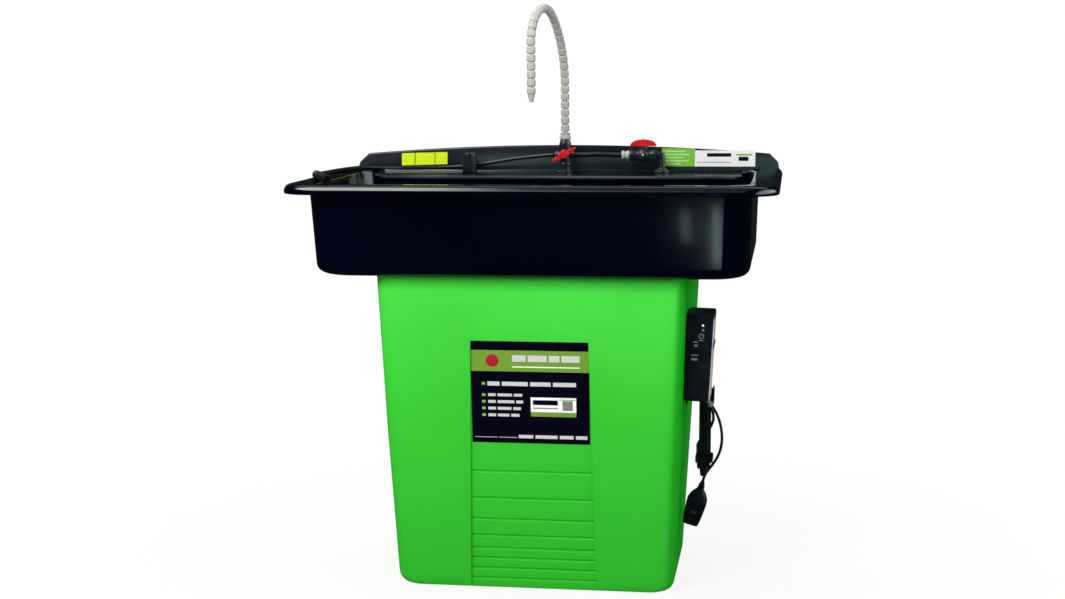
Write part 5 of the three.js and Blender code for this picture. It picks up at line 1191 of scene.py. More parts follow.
class WASHER_OT_tank(bpy.types.Operator):
    """Moulds the tapered reservoir with its recess, grooves and flange"""

    bl_idname = "washer.tank"
    bl_label = "Tank"

    def execute(self, context):
        tank = context.scene.washer_tank
        around = self.slab(TANK_WALL, 0, RECESS_TOP + TANK_WALL, 19)
        cavity = carved(self.skin(TANK_WALL, 833.7), [around])
        recess = self.slab(0, -3, RECESS_TOP, RECESS_DEPTH)
        body = carved(self.skin(0, TANK_TOP), [
            cavity, self.mouth(), recess, *self.grooves(tank.grooves), *self.bores(),
        ])
        bmesh.ops.dissolve_limit(body, angle_limit=math.radians(0.3), verts=body.verts, edges=body.edges)
        soften(body, 2.4, 18, 3, self.on_front)
        set_piece("tank_moulding", body, "tank", WASHER, ["tank"], "green_moulding", sharp=40)
        return {"FINISHED"}

    def on_front(self, edge):
        """Whether an edge belongs to the recess and its grooves"""
        spots = [vert.co / MM for vert in edge.verts]
        return all(abs(s.x) < 172 and s.y < -250 and 8 < s.z < 690 for s in spots) and all(
            s.y < tank_front(s.z) + 13 for s in spots
        )

    def ring(self, z, inset=0.0, side=0.0, end=0.0, grow=0.0):
        half = tank_half(z) - inset - side
        return ring_of(
            (-half, half),
            (tank_front(z) + inset + end, tank_back(z) - inset - end),
            (42 - inset + grow, 70 - inset + grow),
            z,
        )

    def skin(self, inset, high):
        """A closed body with a rounded foot; the cavity is the same body set in by the wall"""
        rings = [
            self.ring(inset + (34 - inset) * (1 - c), inset, 24 * (1 - s), 12 * (1 - s), 6 * (1 - s))
            for s, c in quarter(8)
        ]
        rings += [self.ring(z, inset) for z in (210, TANK_WAIST, 630)]
        if inset:
            rings.append(self.ring(high, inset))
        else:
            rings += [self.ring(high - 3, 0), self.ring(high - 0.9, 0.9), self.ring(high, 3)]
        return loft(rings, 8)

    def mouth(self):
        inset = self.ring(TANK_TOP, 30)
        return loft([(*inset[:2], 42 * MM, z * MM) for z in (831, 845)], 8)

    def slab(self, wall, low, high, depth):
        """A tapered slab along the sloping front, the recess's own or one a wall wider"""
        rings = []
        for z in (low, high):
            half = recess_half(z) + wall
            face = tank_front(z)
            spots = ((-half, face + depth), (-half, face - 3), (half, face - 3), (half, face + depth))
            rings.append([Vector((x, y, z)) * MM for x, y in spots])
        return skin(rings)

    def bores(self):
        """The two ways through the side wall, for the heater and the level switch"""
        return [
            rod(width, 35, box_frame() @ at(-3.5, y, z) @ ALONG_X)
            for width, y, z in ((27.8, -10, -60), (16.8, 30, 20))
        ]

    def grooves(self, number):
        made = []
        z, pitch = 322.0, 74.0
        for _ in range(number):
            half = recess_half(z) - 0.3
            face = tank_front(z) + RECESS_DEPTH
            made.append(skin([
                [Vector((x, y, h)) * MM for y, h in ((face - 5, z + 9), (face + 5, z), (face - 5, z - 9))]
                for x in (-half, half)
            ]))
            z -= pitch
            pitch = max(28.0, pitch * 0.78)
        return made


# Faucet, valve and delivery line on the ledge

class WASHER_OT_faucet(bpy.types.Operator):
    """Turns the faucet post with its ports, and the red diverter wing in front of it"""

    bl_idname = "washer.faucet"
    bl_label = "Faucet"

    def execute(self, context):
        low = FITTING_FOOT
        outline = [
            (0, 1031.7), (9.9, 1031.7), (9.9, low), (23, low), (23, low + 2.5), (16, low + 5),
            (16, 1086), (17.5, 1088), (17.5, 1092), (16, 1094), (18, 1140), (17.2, 1150),
            (13.5, 1163), (5, 1163), (5, 1150), (0, 1150),
        ]
        post = turned(outline, 48, at(FAUCET_X, LINE[0], 0), 1.2)
        port = [(0, -28), (11.5, -28), (11.5, 28), (0, 28)]
        ports = turned(port, 32, at(FAUCET_X, *LINE) @ ALONG_X, 1.2)
        ring = [(0, -2.5), (12.6, -2.5), (12.6, 2.5), (0, 2.5)]
        collars = [turned(ring, 32, at(FAUCET_X + x, *LINE) @ ALONG_X, 0.9) for x in (-24, 24)]
        body = joined(post, ports, *collars)
        set_piece("faucet_body", body, "fitting", WASHER, ["faucet_post"], "black_plastic")
        self.wing()
        self.plug()
        set_lock_nut("faucet_lock_nut", "faucet_nut")
        return {"FINISHED"}

    def plug(self):
        bm = soften(of_node("diverter_plug"), 0.3)
        set_piece("diverter_core", bm, "fitting", "diverter", ["diverter_plug"], "black_plastic")

    def wing(self):
        """A turned hub with a long waisted blade, drawn flat and pushed to its thickness"""
        tilt = Matrix.Rotation(math.radians(-27.6), 4, "Y")
        place = at(FAUCET_X, LINE[0], 1120) @ tilt
        # The hub's back is behind the blade
        outline = [(0, -32.6), (10.5, -32.6), (13.5, -29.5), (13.5, -18.6), (0, -18.6)]
        hub = turned(outline, 40, place @ ALONG_Y, 1.0)
        outline = [(0, -33.4), (5.2, -33.4), (6.4, -32.0), (6.4, -31.5), (0, -31.5)]
        cap = turned(outline, 24, place @ ALONG_Y, 0.4)
        half = 40.0
        side = []
        for i in range(25):
            t = -1 + 2 * i / 24
            width = 3.7 + 4.6 * max(0.0, 1 - abs(t) * 1.3) ** 0.7 + 1.0 * abs(t)
            width *= (1 - max(0.0, abs(t) - 0.9) * 4.5)
            side.append((t * half, width, 1.6 * t * abs(t)))
        top = [(x, bend + w) for x, w, bend in side]
        foot = [(x, bend - w) for x, w, bend in reversed(side)]
        blade = soften(pushed(top + foot, 0, 4.6), 1.1, 50, 3)
        moved(blade, place @ at(0, -28.2, 0))
        set_piece(
            "diverter_lever", joined(hub, cap, blade), "red", "diverter", ["diverter_wing"], "red_plastic",
            weighted=True,
        )


class WASHER_OT_valve(bpy.types.Operator):
    """Makes the ball valve with its red handle, the nipple, the elbow and the supply hose"""

    bl_idname = "washer.valve"
    bl_label = "Ball valve"

    def execute(self, context):
        self.body()
        self.handle()
        self.nipple()
        self.elbow()
        self.supply()
        return {"FINISHED"}

    def body(self):
        middle = at(VALVE_X, *LINE)
        outline = [(9, -40), (17.5, -40), (17.5, -26), (15.5, -25), (15.5, -14), (20.2, -7), (20.6, 0),
                   (20.2, 7), (15.5, 14), (15.5, 25), (17.5, 26), (17.5, 40), (9, 40)]
        barrel = turned(outline, 48, middle @ ALONG_X, 1.0)
        boss = turned([(0, 10), (13, 10), (13, 25.5), (0, 25.5)], 36, middle, 0.8)
        ribs = []
        for end in (-1, 1):
            for k in range(12):
                turn = Matrix.Rotation(math.tau * k / 12, 4, "X")
                rib = block((-6.2, 6.2), (-1.1, 1.1), (16.4, 18.2), 0.5)
                ribs.append(moved(rib, at(VALVE_X + end * 33, *LINE) @ turn))
        lugs = [
            moved(block((-3, 3), (-20.2, -17), (-3, 3), 0.8), at(VALVE_X + x, *LINE)) for x in (-7, 0, 7)
        ]
        body = joined(barrel, boss, *ribs, *lugs)
        set_piece("valve_barrel", body, "fitting", WASHER, ["ball_valve_body"], "black_plastic")
        spot = at(VALVE_X, LINE[0] - 20.3, LINE[1] + 1.5) @ TO_FRONT
        mark = turned([(0, 0), (3.2, 0), (3.2, 0.5), (0, 0.5)], 24, spot, 0.2)
        set_piece("valve_centre_mark", mark, "nipple", WASHER, (), "grey_plastic")

    def handle(self):
        place = at(VALVE_X, LINE[0], LINE[1] + 25.8)
        spots = [
            (-38, 0), (38, 0), (37.5, 4), (32.7, 11), (24, 16),
            (8.4, 19), (-8.4, 19), (-24, 16), (-32.7, 11), (-37.5, 4),
        ]
        grip = moved(soften(pushed(spots, -6.5, 13), 1.8, 40, 3), place)
        hub = turned([(5.4, 0), (13.5, 0), (13.5, 5), (5.4, 5)], 36, place, 0.8)
        ribs = [
            moved(block((x - 1.5, x + 1.5), (-8.5, 8.5), (2.5, 17.6), 1.0, 3), place) for x in (-4.5, 4.5)
        ]
        set_piece(
            "valve_lever", joined(grip, hub, *ribs), "red", "valve", ["valve_handle"], "red_plastic",
            weighted=True,
        )
        dress("valve_ball", "brass")
        screw = turned([(0, 0), (3, 0), (3, 1), (2, 2), (0, 2)], 24, place @ at(0, 0, 19.3), 0.3)
        set_piece("lever_screw", screw, "steel", "valve", ["handle_screw"], "steel")

    def nipple(self):
        outline = [
            (4, -18), (5.4, -16), (4.6, -12), (5.4, -10), (4.6, -6), (5.2, -4), (5.2, 0), (12.5, 0),
            (12.5, 8), (10, 9), (10, 13), (12.5, 14), (12.5, 22), (8.5, 22), (8.5, 33), (4, 33),
        ]
        bm = turned(outline, 40, at(172.7, *LINE) @ ALONG_X, 0.9)
        set_piece("line_nipple", bm, "nipple", WASHER, ["hose_nipple"], "grey_plastic")

    def elbow(self):
        low = FITTING_FOOT
        upright = turned([
            (4, 1024), (8, 1026), (8, 1042), (9.8, 1042), (9.8, low), (22.5, low), (22.5, low + 4.5),
            (20.5, low + 6), (13.5, low + 9.5), (10.5, low + 13), (10.5, LINE[1] - 8), (4, LINE[1] - 8),
        ], 40, at(ELBOW_X, LINE[0], 0), 1.1)
        turn = 10
        path = [(ELBOW_X - turn * (1 - c), LINE[1] - turn + turn * s) for s, c in quarter(8)]
        path.append((275.3, LINE[1]))
        bend = swept([Vector((x, LINE[0], z)) * MM for x, z in path], 21 * MM, 32)
        ring = turned([(0, 0), (12.2, 0), (12.2, 4), (0, 4)], 36, at(275.2, *LINE) @ ALONG_X, 0.9)
        body = joined(upright, bend, ring)
        set_piece("line_elbow", body, "fitting", WASHER, ["bulkhead_elbow"], "black_plastic")
        set_lock_nut("elbow_lock_nut", "bulkhead_nut")

    def supply(self):
        path = smooth_path([
            Vector((x, LINE[0], LINE[1] + lift)) * MM
            for x, lift in ((35.3, 0), (56, 0), (104, 2), (152, 0), (172.4, 0))
        ], 10)
        jacket = swept(path, 13.8 * MM, 24)
        set_piece("supply_hose_jacket", jacket, "hose_rubber", WASHER, ["supply_hose"], "black_rubber")


# Modular hose

class WASHER_OT_gooseneck(bpy.types.Operator):
    """Snaps the links of the modular hose together, from its connector to its nozzle"""

    bl_idname = "washer.gooseneck"
    bl_label = "Gooseneck"

    def execute(self, context):
        hose = context.scene.washer_hose
        places = self.places(hose.pitch / MM)
        starts = [0, 6, 11, 16, 21, 26, 31]
        for number, (first, after) in enumerate(zip(starts, starts[1:]), 1):
            links = [self.link(hose, places[i]) for i in range(first, after)]
            set_piece(
                f"gooseneck_{number}", joined(*links), "hose", f"hose_{number}",
                [f"hose_links_{number}"], "grey_plastic",
            )
        nozzle = turned([
            (4.5, 8.3), (9.2, 3.4), (9.4, 0), (9.2, -2.4), (11.3, -4.4), (12.2, 0), (12.2, 11),
            (10.6, 12.6), (10, 14), (7.4, 28), (6.2, 36), (3.6, 36), (4.5, 24),
        ], hose.sides, places[31], 0.7)
        set_piece("gooseneck_nozzle", nozzle, "hose", "hose_6", ["hose_nozzle"], "grey_plastic")
        connector = turned([
            (4.5, -26.4), (16.5, -26.4), (16.5, -19.2), (13.6, -18.2), (13.6, -11.8), (15.5, -10.6),
            (15.5, -8.4), (6.6, -7.2), (8, -2.9), (8.5, 0), (8, 2.9), (6, 6), (4.5, 6),
        ], hose.sides, places[0], 0.8)
        set_piece("gooseneck_connector", connector, "hose", WASHER, ["hose_connector"], "grey_plastic")
        return {"FINISHED"}

    def places(self, pitch):
        """One matrix for each link and one for the nozzle"""
        bends = [0] * 6 + [5] * 10 + [13] * 10 + [0] * 5 + [0]
        here = Vector((FAUCET_X, LINE[0], 1189.7))
        turn = Matrix.Rotation(math.radians(-14), 4, "Z")
        angle = 0.0
        made = []
        for bend in bends:
            angle += bend
            # The hose leans towards the front, so it turns the same way as X does
            lean = turn @ Matrix.Rotation(math.radians(angle), 4, "X")
            made.append(Matrix.Translation(here * MM) @ lean)
            here = here + (lean @ Vector((0, 0, pitch)))
        return made

    def link(self, hose, place):
        wide = hose.width / MM / 2
        outline = [
            (4.5, 8.3), (7.3, 6.0), (8.9, 3.2), (9.4, 0.5), (9.25, -1.9), (10.2, -3.2), (11.4, -4.4),
            (11.9, -2.8), (wide - 0.1, 0), (wide, 4), (wide - 0.1, 10), (11.6, 12.9), (10.9, 14.6),
            (9.5, 15.4), (7.4, 16.0), (7.2, 17.6), (7.8, 19.2), (8.4, 21.0), (8.5, 22.6), (8.3, 24.4),
            (7.6, 26.6), (6.2, 28.4), (4.5, 28.4),
        ]
        return turned(outline, hose.sides, place, 0.5)


# Guide post

class WASHER_OT_guide(bpy.types.Operator):
    """Makes the ribbed post that keeps the brush hose against the splash"""

    bl_idname = "washer.guide"
    bl_label = "Hose guide"

    def execute(self, context):
        low = FITTING_FOOT
        place = at(GUIDE_X, LINE[0], 0)
        core = turned([
            (0, low), (20.4, low), (20.4, low + 50), (19.9, low + 55.4), (17.6, low + 57),
            (15, low + 57), (13, low + 54), (0, low + 54),
        ], 60, place, 0.8)
        ribs = []
        for k in range(15):
            turn = Matrix.Rotation(math.tau * k / 15, 4, "Z")
            rib = block((19.0, 21.7), (-2.3, 2.3), (low, low + 51.5), 0.9, 3)
            ribs.append(moved(rib, place @ turn))
        shank = turned([(0, 1041), (6, 1041), (6, 1067), (0, 1067)], 24, place, 0.5)
        body = joined(core, *ribs, shank)
        set_piece("guide_post", body, "brush", WASHER, ["hose_guide_post"], "black_plastic")
        set_lock_nut("guide_lock_nut", "guide_nut")
        return {"FINISHED"}


# Brush

class WASHER_OT_brush(bpy.types.Operator):
    """Makes the flow-through brush: ribbed handle, ferrule and bristles"""

    bl_idname = "washer.brush"
    bl_label = "Brush"

    def execute(self, context):
        aim = (Vector(BRUSH_FRONT) - Vector(BRUSH_REAR)).normalized()
        side = Vector((0, 0, 1)).cross(aim)
        place = at(*BRUSH_REAR) @ Matrix((side, aim.cross(side), aim)).transposed().to_4x4()
        grip = 11.5
        outline = [(0, 0), (7.5, 0), (7.5, 8), (9, 12), (grip, 16), (grip, 25)]
        for k in range(4):
            z = 27 + k * 11
            outline += [(grip, z), (grip - 1.9, z + 2.2), (grip - 1.9, z + 5.6), (grip, z + 7.8)]
        outline += [(grip, 78), (10.6, 96), (10.6, 118), (11.8, 140), (11.5, 152), (0, 152)]
        handle = turned(outline, 40, place, 1.0)
        set_piece("brush_grip", handle, "brush", "brush", ["brush_handle"], "brush_plastic")
        collar = turned([
            (0, 152.3), (13.3, 152.3), (13.3, 158.3), (11.7, 162), (11.5, 165), (11.5, 177),
            (13.3, 183), (13.3, 186.3), (0, 186.3),
        ], 40, place, 0.9)
        set_piece("brush_collar", collar, "brush", "brush", ["brush_ferrule"], "brush_plastic")
        set_piece("brush_tuft", self.tuft(place), "bristle", "brush", ["brush_bristles"], "brush_plastic")
        return {"FINISHED"}

    def tuft(self, place):
        """Tapered strands in rings, each a little bent, standing in a thin base"""
        pick = random.Random(7)
        base = turned([(0, 186.6), (11.5, 186.6), (11.5, 190.6), (0, 190.6)], 32, place, 0.5)
        whole = bmesh.new()
        for ring in range(12):
            radius = 10.5 * (ring + 0.5) / 12
            around = round(ring * 6.2) + 3
            for k in range(around):
                angle = math.tau * (k + ring / 3) / around + pick.uniform(-0.05, 0.05)
                strand = bmesh.ops.create_cone(
                    whole, cap_ends=True, segments=5, radius1=0.42 * MM, radius2=0.2 * MM, depth=25 * MM,
                )["verts"]
                reach = radius + pick.uniform(-0.25, 0.25)
                tilt = Matrix.Rotation(0.035 * radius / 10.5 + pick.uniform(-0.012, 0.012), 4, "Y")
                stand = at(reach, 0, 190.4 + 12.4 + pick.uniform(-0.5, 0.4))
                spot = Matrix.Rotation(angle, 4, "Z") @ stand @ tilt
                bmesh.ops.transform(whole, matrix=place @ spot, verts=strand)
        return joined(base, whole)


# Control box

# Half of the box's width and height
BOX_WIDE, BOX_HIGH = 60, 108
GLAND_Y = 49


def box_face(z):
    """The outer face, which leans in towards the foot"""
    return 70.3 - 5 * (BOX_HIGH - z) / (2 * BOX_HIGH)


class WASHER_OT_control_box(bpy.types.Operator):
    """Makes the control box with its cap, side panel, marks, peg and strain relief"""

    bl_idname = "washer.control_box"
    bl_label = "Control box"

    def execute(self, context):
        place = box_frame()
        self.case(place)
        self.panel(place)
        self.marks(place)
        peg = soften(of_node("cord_peg"), 0.5, 60)
        set_piece("hank_peg", peg, "case", WASHER, ["cord_peg"], "black_plastic", sharp=50)
        self.relief(place)
        return {"FINISHED"}

    def ring(self, inset, z, edge=6.0):
        return ring_of((0.3 + inset, box_face(z) - inset), (-BOX_WIDE + inset, BOX_WIDE - inset), edge, z)

    def case(self, place):
        rings = [self.ring(inset, z) for inset, z in (
            (3, -BOX_HIGH), (1, 1 - BOX_HIGH), (0, 4 - BOX_HIGH), (0, BOX_HIGH - 4), (0, BOX_HIGH),
        )]
        rings += [self.ring(3, BOX_HIGH, 4), self.ring(3, 4 - BOX_HIGH, 4)]
        body = moved(loft(rings, 5), place)
        set_piece("box_case", body, "case", WASHER, ["control_box"], "black_plastic", sharp=30, weighted=True)
        rings = []
        for s, c in quarter(7):
            inset = 10 * (1 - c) ** 2
            rings.append(ring_of(
                (0.3 + inset, 72.3 - inset / 2),
                (-BOX_WIDE + inset / 2, BOX_WIDE - inset / 2),
                6,
                108.3 + 12 * s,
            ))
        lid = moved(loft(rings, 5), place)
        set_piece("box_lid", lid, "case", WASHER, ["control_cap"], "black_plastic", sharp=35)

    def panel(self, place):
        panel = soften(of_node("control_side_panel"), 0.5)
        set_piece("side_panel", panel, "panel", WASHER, ["control_side_panel"], "steel", weighted=True)
        band = soften(of_node("panel_band"), 0.4)
        set_piece("side_band", band, "case", WASHER, ["panel_band"], "black_plastic", weighted=True)

    def marks(self, place):
        """Plain printed marks on the front: a ring, a lamp window and bars"""
        for name, outline, steps, x, z, finish, radius in (
            ("mark_ring", [(4.6, 0), (6.6, 0), (6.6, 0.6), (4.6, 0.6)], 32, 41, 62, "film_grey", 0.2),
            ("mark_lamp", [(0, 0), (3, 0), (3, 0.7), (0, 0.7)], 24, 44, 90, "film_white", 0.3),
        ):
            mark = turned(outline, steps, place @ at(x, -BOX_WIDE, z) @ TO_FRONT, radius)
            set_piece(name, mark, finish, WASHER, (), "steel")
        for name, x, z, width, height in (
            ("mark_bar_1", 45, 78, 5, 6), ("mark_bar_2", 27, 46, 11, 2.6), ("mark_bar_3", 28, 37, 8, 5),
            ("mark_bar_4", 26, 12, 17, 2.6), ("mark_bar_5", 25, 1, 15, 5), ("mark_bar_6", 41, 51, 12, 2),
        ):
            spans = (x - width / 2, x + width / 2), (-60.6, -59.9), (z - height / 2, z + height / 2)
            set_piece(name, moved(block(*spans, 0.15, 1), place), "film_grey", WASHER, (), "steel")

    def relief(self, place):
        x = box_face(-BOX_HIGH) - 11
        outline = [(0, -108.3), (10, -108.3), (10, -115), (8.4, -117.3), (0, -117.3)]
        collar = turned(outline, 32, place @ at(x, GLAND_Y, 0), 0.8)
        outline = [(0, 0), (8, 0), (8, -7)]
        for k in range(6):
            z = -8.4 - k * 3.4
            wide = 7.8 - k * 0.42
            outline += [(wide, z), (wide - 1.3, z - 0.7), (wide - 1.3, z - 1.7), (wide - 0.2, z - 2.4)]
        outline += [(5.25, -29.5), (5.25, -32), (0, -32)]
        lean = place @ at(x, GLAND_Y, -112.8) @ Matrix.Rotation(math.radians(-25), 4, "Y")
        sleeve = turned(outline, 32, lean, 0.5)
        set_piece("strain_relief", joined(collar, sleeve), "relief", WASHER, ["cord_gland"], "grey_plastic")


# Plug

class WASHER_OT_plug(bpy.types.Operator):
    """Makes the moulded plug with its buttons, blades and ground pin"""

    bl_idname = "washer.plug"
    bl_label = "Plug"

    def execute(self, context):
        place = at(438, -147, 272) @ Matrix.Rotation(math.radians(16), 4, "Y")
        rings = [
            ring_of((-width / 2, width / 2), (back - depth, back), corner, z)
            for width, depth, corner, z, back in (
                (37, 21, 7, -124, 16.5), (42, 26, 9, -121.5, 16.5), (44, 28, 9, -115, 16.5),
                (50, 31.5, 9, -92, 16.5), (54, 33, 9, -58, 16.5), (53, 33, 10, -50, 16.5),
                (46, 32, 11, -40, 16.2), (36, 27, 10, -31, 13.5), (25, 19, 8, -24.5, 9.5),
                (18, 15.5, 6.5, -20, 7.75), (16, 14, 6, -12, 7), (10.4, 10.4, 4.9, 0, 5.2),
            )
        ]
        body = loft(rings, 6)
        pockets = [
            block((-7.9, 7.9), (-30, -8.6), (-p - 4.9, -p + 4.9), 0) for p in (66, 84)
        ]
        moved(body, place)
        body = carved(body, [moved(p, place) for p in pockets])
        ridges = [
            moved(block((-9.5, 9.5), (-7.9, -6.4), (-z - 0.9, -z + 0.9), 0.5), place)
            for z in (8, 12, 16)
        ]
        whole = joined(body, *ridges)
        set_piece("plug_moulding", whole, "case", WASHER, ["plug_body"], "black_plastic", sharp=42)
        for node, name, finish, body_name, spot in (
            ("reset_button", "reset_key", "case", "reset", "red_plastic"),
            ("test_button", "test_key", "key", "test", "grey_plastic"),
        ):
            key = soften(of_node(node), 0.7, 35, 3)
            set_piece(name, key, finish, body_name, [node], spot, weighted=True)
        for node in PRONGS:
            dress(node, "brass")
        return {"FINISHED"}


# Labels, with plain blocks of colour only

# Rows of blocks: height of the row, height of a block, left ends and widths
LABEL_ROWS = (
    (560, 11, ((-112, 32), (-74, 68), (0, 54), (60, 60))),
    (530, 7.5, ((-111, 20), (-86, 38), (-43, 22))),
    (512, 7.5, ((-111, 20), (-86, 44), (-37, 18))),
    (494, 7.5, ((-111, 20), (-86, 36), (-45, 20))),
    (476, 7.5, ((-111, 20), (-86, 30), (-51, 22))),
    (628, 17, ((-46, 36), (-5, 50), (50, 28), (83, 47))),
    (419, 9, ((-32, 38), (12, 58), (76, 36), (118, 30))),
    (416, 1.4, ((-148, 60), (-84, 48))),
)


class WASHER_OT_labels(bpy.types.Operator):
    """Sticks plain labels on the tank's front and on the splash"""

    bl_idname = "washer.labels"
    bl_label = "Labels"

    def execute(self, context):
        self.front()
        self.splash()
        return {"FINISHED"}

    def front(self):
        """Plates that lean with the recess of the tank"""
        slope = math.atan(FRONT_LEAN / TANK_TOP)

        def plate(name, x, z, finish, lift):
            middle = (z[0] + z[1]) / 2
            face = tank_front(middle) + RECESS_DEPTH
            place = at((x[0] + x[1]) / 2, face, middle) @ Matrix.Rotation(slope, 4, "X")
            wide, tall = x[1] - x[0], (z[1] - z[0]) / math.cos(slope)
            set_plate(name, wide, tall, (-lift - 0.35, -lift + 0.1), finish, place)

        plate("label_field", (-155, 155), (401, 673), "film_black", 0.35)
        plate("label_band", (-155, 155), (593, 649), "film_olive", 0.6)
        plate("label_card", (1, 120), (474, 525), "film_white", 0.8)
        plate("label_card_strip", (1, 120), (474, 486), "film_olive", 1.0)
        plate("label_card_window", (84, 111), (491, 517), "film_grey", 1.2)
        plate("label_card_tab", (76, 118), (518, 521), "film_green", 1.0)
        plate("label_card_bar", (7, 72), (505, 518), "film_black", 1.2)
        plate("label_card_line", (7, 72), (495, 498), "film_grey", 1.2)
        plate("label_title_line", (-46, 130), (604, 607), "film_white", 1.0)
        for row, (z, tall, words) in enumerate(LABEL_ROWS, 1):
            for word, (x, wide) in enumerate(words, 1):
                span = (z - tall / 2, z + tall / 2)
                plate(f"label_row_{row}_{word}", (x, x + wide), span, "film_pale", 0.9)
        for row, z in enumerate((560, 530, 512, 494, 476), 1):
            plate(f"label_dot_{row}", (-127, -118), (z - 3.4, z + 3.4), "film_green", 0.9)
        place = at(-98, tank_front(621) + 6.5, 621) @ Matrix.Rotation(math.pi / 2 + slope, 4, "X")
        disc = turned([(0, 0), (17, 0), (17, 0.5), (0, 0.5)], 40, place, 0.2)
        set_piece("label_disc", disc, "film_crimson", WASHER, (), "black_plastic")

    def splash(self):
        """Plates that lean with the splash's face"""
        sink = bpy.context.scene.washer_sink
        ledge = sink.rim / MM - LEDGE_DROP
        lean = math.atan(SPLASH_LEAN / (sink.splash / MM + LEDGE_DROP))

        def plate(name, x, z, finish, lift, tilt=0.0):
            middle = (z[0] + z[1]) / 2
            face = SPLASH_FOOT + (middle - ledge) * math.tan(lean)
            place = at((x[0] + x[1]) / 2, face, middle) @ Matrix.Rotation(-lean, 4, "X")
            place = place @ Matrix.Rotation(-math.radians(tilt), 4, "Y")
            wide, tall = x[1] - x[0], (z[1] - z[0]) / math.cos(lean)
            set_plate(name, wide, tall, (-lift - 0.4, -lift + 0.1), finish, place)

        plate("notice_yellow", (-494, -355), (1084, 1120), "film_yellow", 0.4, 1.6)
        for i, x in enumerate((-453.4, -392.7), 1):
            plate(f"notice_divider_{i}", (x - 1, x + 1), (1085, 1119), "film_black", 0.8, 1.6)
        plate("notice_green", (284, 381), (1079, 1133), "film_green", 0.4)
        plate("notice_white", (381, 556), (1079, 1127), "film_white", 0.4)
        plate("notice_bar", (416, 486), (1109, 1119), "film_black", 0.8)
        for row, wide in enumerate((62, 74, 56, 70, 48)):
            span = (1122 - row * 9, 1126 - row * 9)
            plate(f"notice_row_{row}", (292, 292 + wide), span, "film_mint", 0.8)
        plate("notice_line", (388, 486), (1092, 1094), "film_grey", 0.8)
        plate("notice_badge", (508, 536), (1097, 1109), "film_black", 0.8)
        plate("notice_badge_top", (500, 546), (1112, 1117), "film_green", 0.8)


# Inner pieces

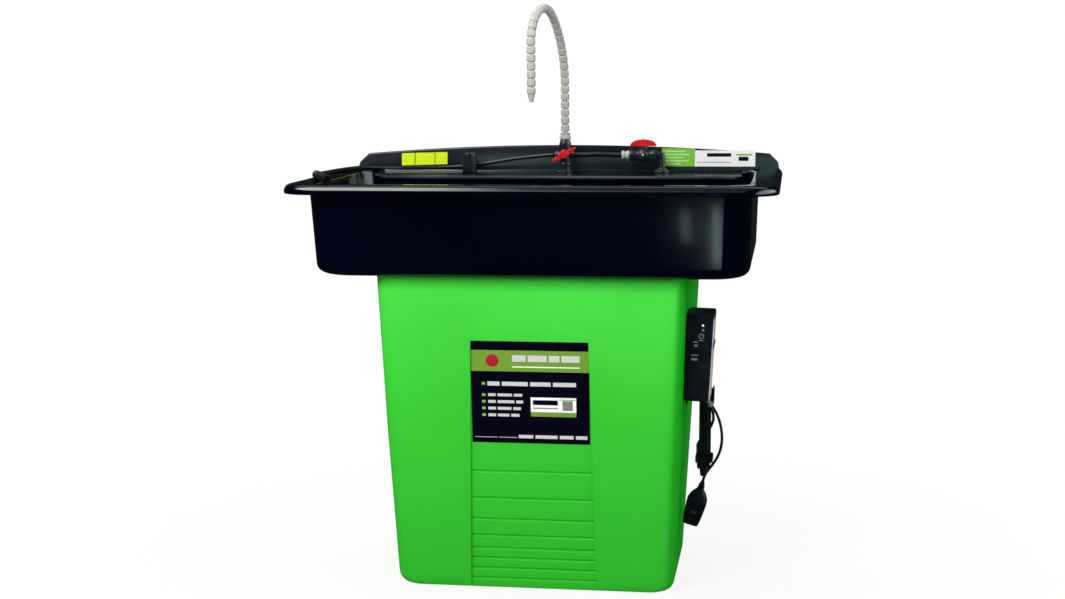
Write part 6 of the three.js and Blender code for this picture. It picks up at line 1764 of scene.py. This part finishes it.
class WASHER_OT_inside(bpy.types.Operator):
    """Finishes the false floor, the mat, the drain, the pump, the heater and the level switch"""

    bl_idname = "washer.inside"
    bl_label = "Inside"

    def execute(self, context):
        floor = soften(of_node("false_floor"), 0.6, 70)
        set_piece(
            "floor_grille", floor, "grille", "floor", ["false_floor"], "black_moulding", sharp=50,
            weighted=True,
        )
        self.mat()
        for node, name, finish, width, slot in (
            ("drain_fitting", "drain_cup", "fitting", 0.4, "black_plastic"),
            ("drain_nut", "drain_lock_nut", "fitting", 0.6, "black_plastic"),
            ("pump_strainer", "strainer_cage", "case", 0.5, "black_plastic"),
            ("pump_housing", "pump_case", "case", 0.7, "black_plastic"),
            ("level_switch_body", "switch_stem", "fitting", 0.3, "black_plastic"),
            ("heater_body", "heater_boss", "brass", 0.5, "brass"),
        ):
            bm = soften(of_node(node), width, 50)
            set_piece(name, bm, finish, WASHER, [node], slot, sharp=48)
        for node, finish, body, slot in (
            ("pump_impeller", "fitting", "impeller", "black_plastic"),
            ("pump_shaft", "steel", "impeller", "steel"),
            ("level_switch_float", "case", "float", "black_plastic"),
            ("float_pin", "steel", WASHER, "steel"),
        ):
            bm = soften(of_node(node), 0.3, 60)
            set_piece(f"{node}_part", bm, finish, body, [node], slot, sharp=48)
        for node, name, finish, slot in (
            ("riser_hose", "riser_hose_jacket", "hose_rubber", "black_rubber"),
            ("heater_element", "heater_rod", "steel", "steel"),
            ("pump_cable", "pump_cable_jacket", "cord_jacket", "black_rubber"),
        ):
            set_piece(name, of_node(node), finish, WASHER, [node], slot, sharp=60)
        return {"FINISHED"}

    def mat(self):
        """A felt pad with a soft edge and a slightly sunk middle"""
        bm = loft([
            ring_of((-516 + inset, 516 - inset), (-343 + inset, 137 - inset), 36, z)
            for inset, z in ((3, 858.3), (0.6, 860.5), (0, 864), (0, 875), (1.2, 878.6), (5, 880.2))
        ], 6)
        top = max(bm.faces, key=lambda f: f.calc_center_median().z)
        bmesh.ops.inset_individual(bm, faces=[top], thickness=30 * MM, depth=-0.4 * MM)
        mat = set_piece("filter_pad", bm, "felt", "mat", ["filter_mat"], "felt", sharp=60)


# Panel and registration

STEPS = (
    WASHER_OT_stage, WASHER_OT_plug, WASHER_OT_brush, WASHER_OT_cords, WASHER_OT_sink, WASHER_OT_tank,
    WASHER_OT_faucet, WASHER_OT_valve, WASHER_OT_gooseneck, WASHER_OT_guide, WASHER_OT_control_box,
    WASHER_OT_labels, WASHER_OT_inside,
)


class WASHER_PT_panel(bpy.types.Panel):
    """Lists the settings and the steps"""

    bl_label = "Parts washer"
    bl_idname = "WASHER_PT_panel"
    bl_space_type = "VIEW_3D"
    bl_region_type = "UI"
    bl_category = "Parts washer"

    def draw(self, context):
        layout = self.layout
        for group in GROUPS:
            settings = getattr(context.scene, group)
            box = layout.box()
            for key in settings.__annotations__:
                box.prop(settings, key)
        for step in STEPS:
            layout.operator(step.bl_idname)


GROUPS = {
    "washer_sink": SinkSettings,
    "washer_tank": TankSettings,
    "washer_hose": HoseSettings,
    "washer_cords": CordSettings,
    "washer_colours": ColourSettings,
    "washer_stage": StageSettings,
}


def register():
    for kind in (*GROUPS.values(), *STEPS, WASHER_PT_panel):
        bpy.utils.register_class(kind)
    for name, kind in GROUPS.items():
        setattr(bpy.types.Scene, name, PointerProperty(type=kind))


def unregister():
    for name in GROUPS:
        delattr(bpy.types.Scene, name)
    for kind in reversed((*GROUPS.values(), *STEPS, WASHER_PT_panel)):
        bpy.utils.unregister_class(kind)


def corners(bounds):
    return [list(corner) for corner in bounds]


def main():
    register()
    for step in STEPS:
        area, name = step.bl_idname.split(".")
        getattr(getattr(bpy.ops, area), name)()
    {"cad": corners(CAD_BOX), "visual": corners(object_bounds())}


if __name__ == "__main__":
    main()
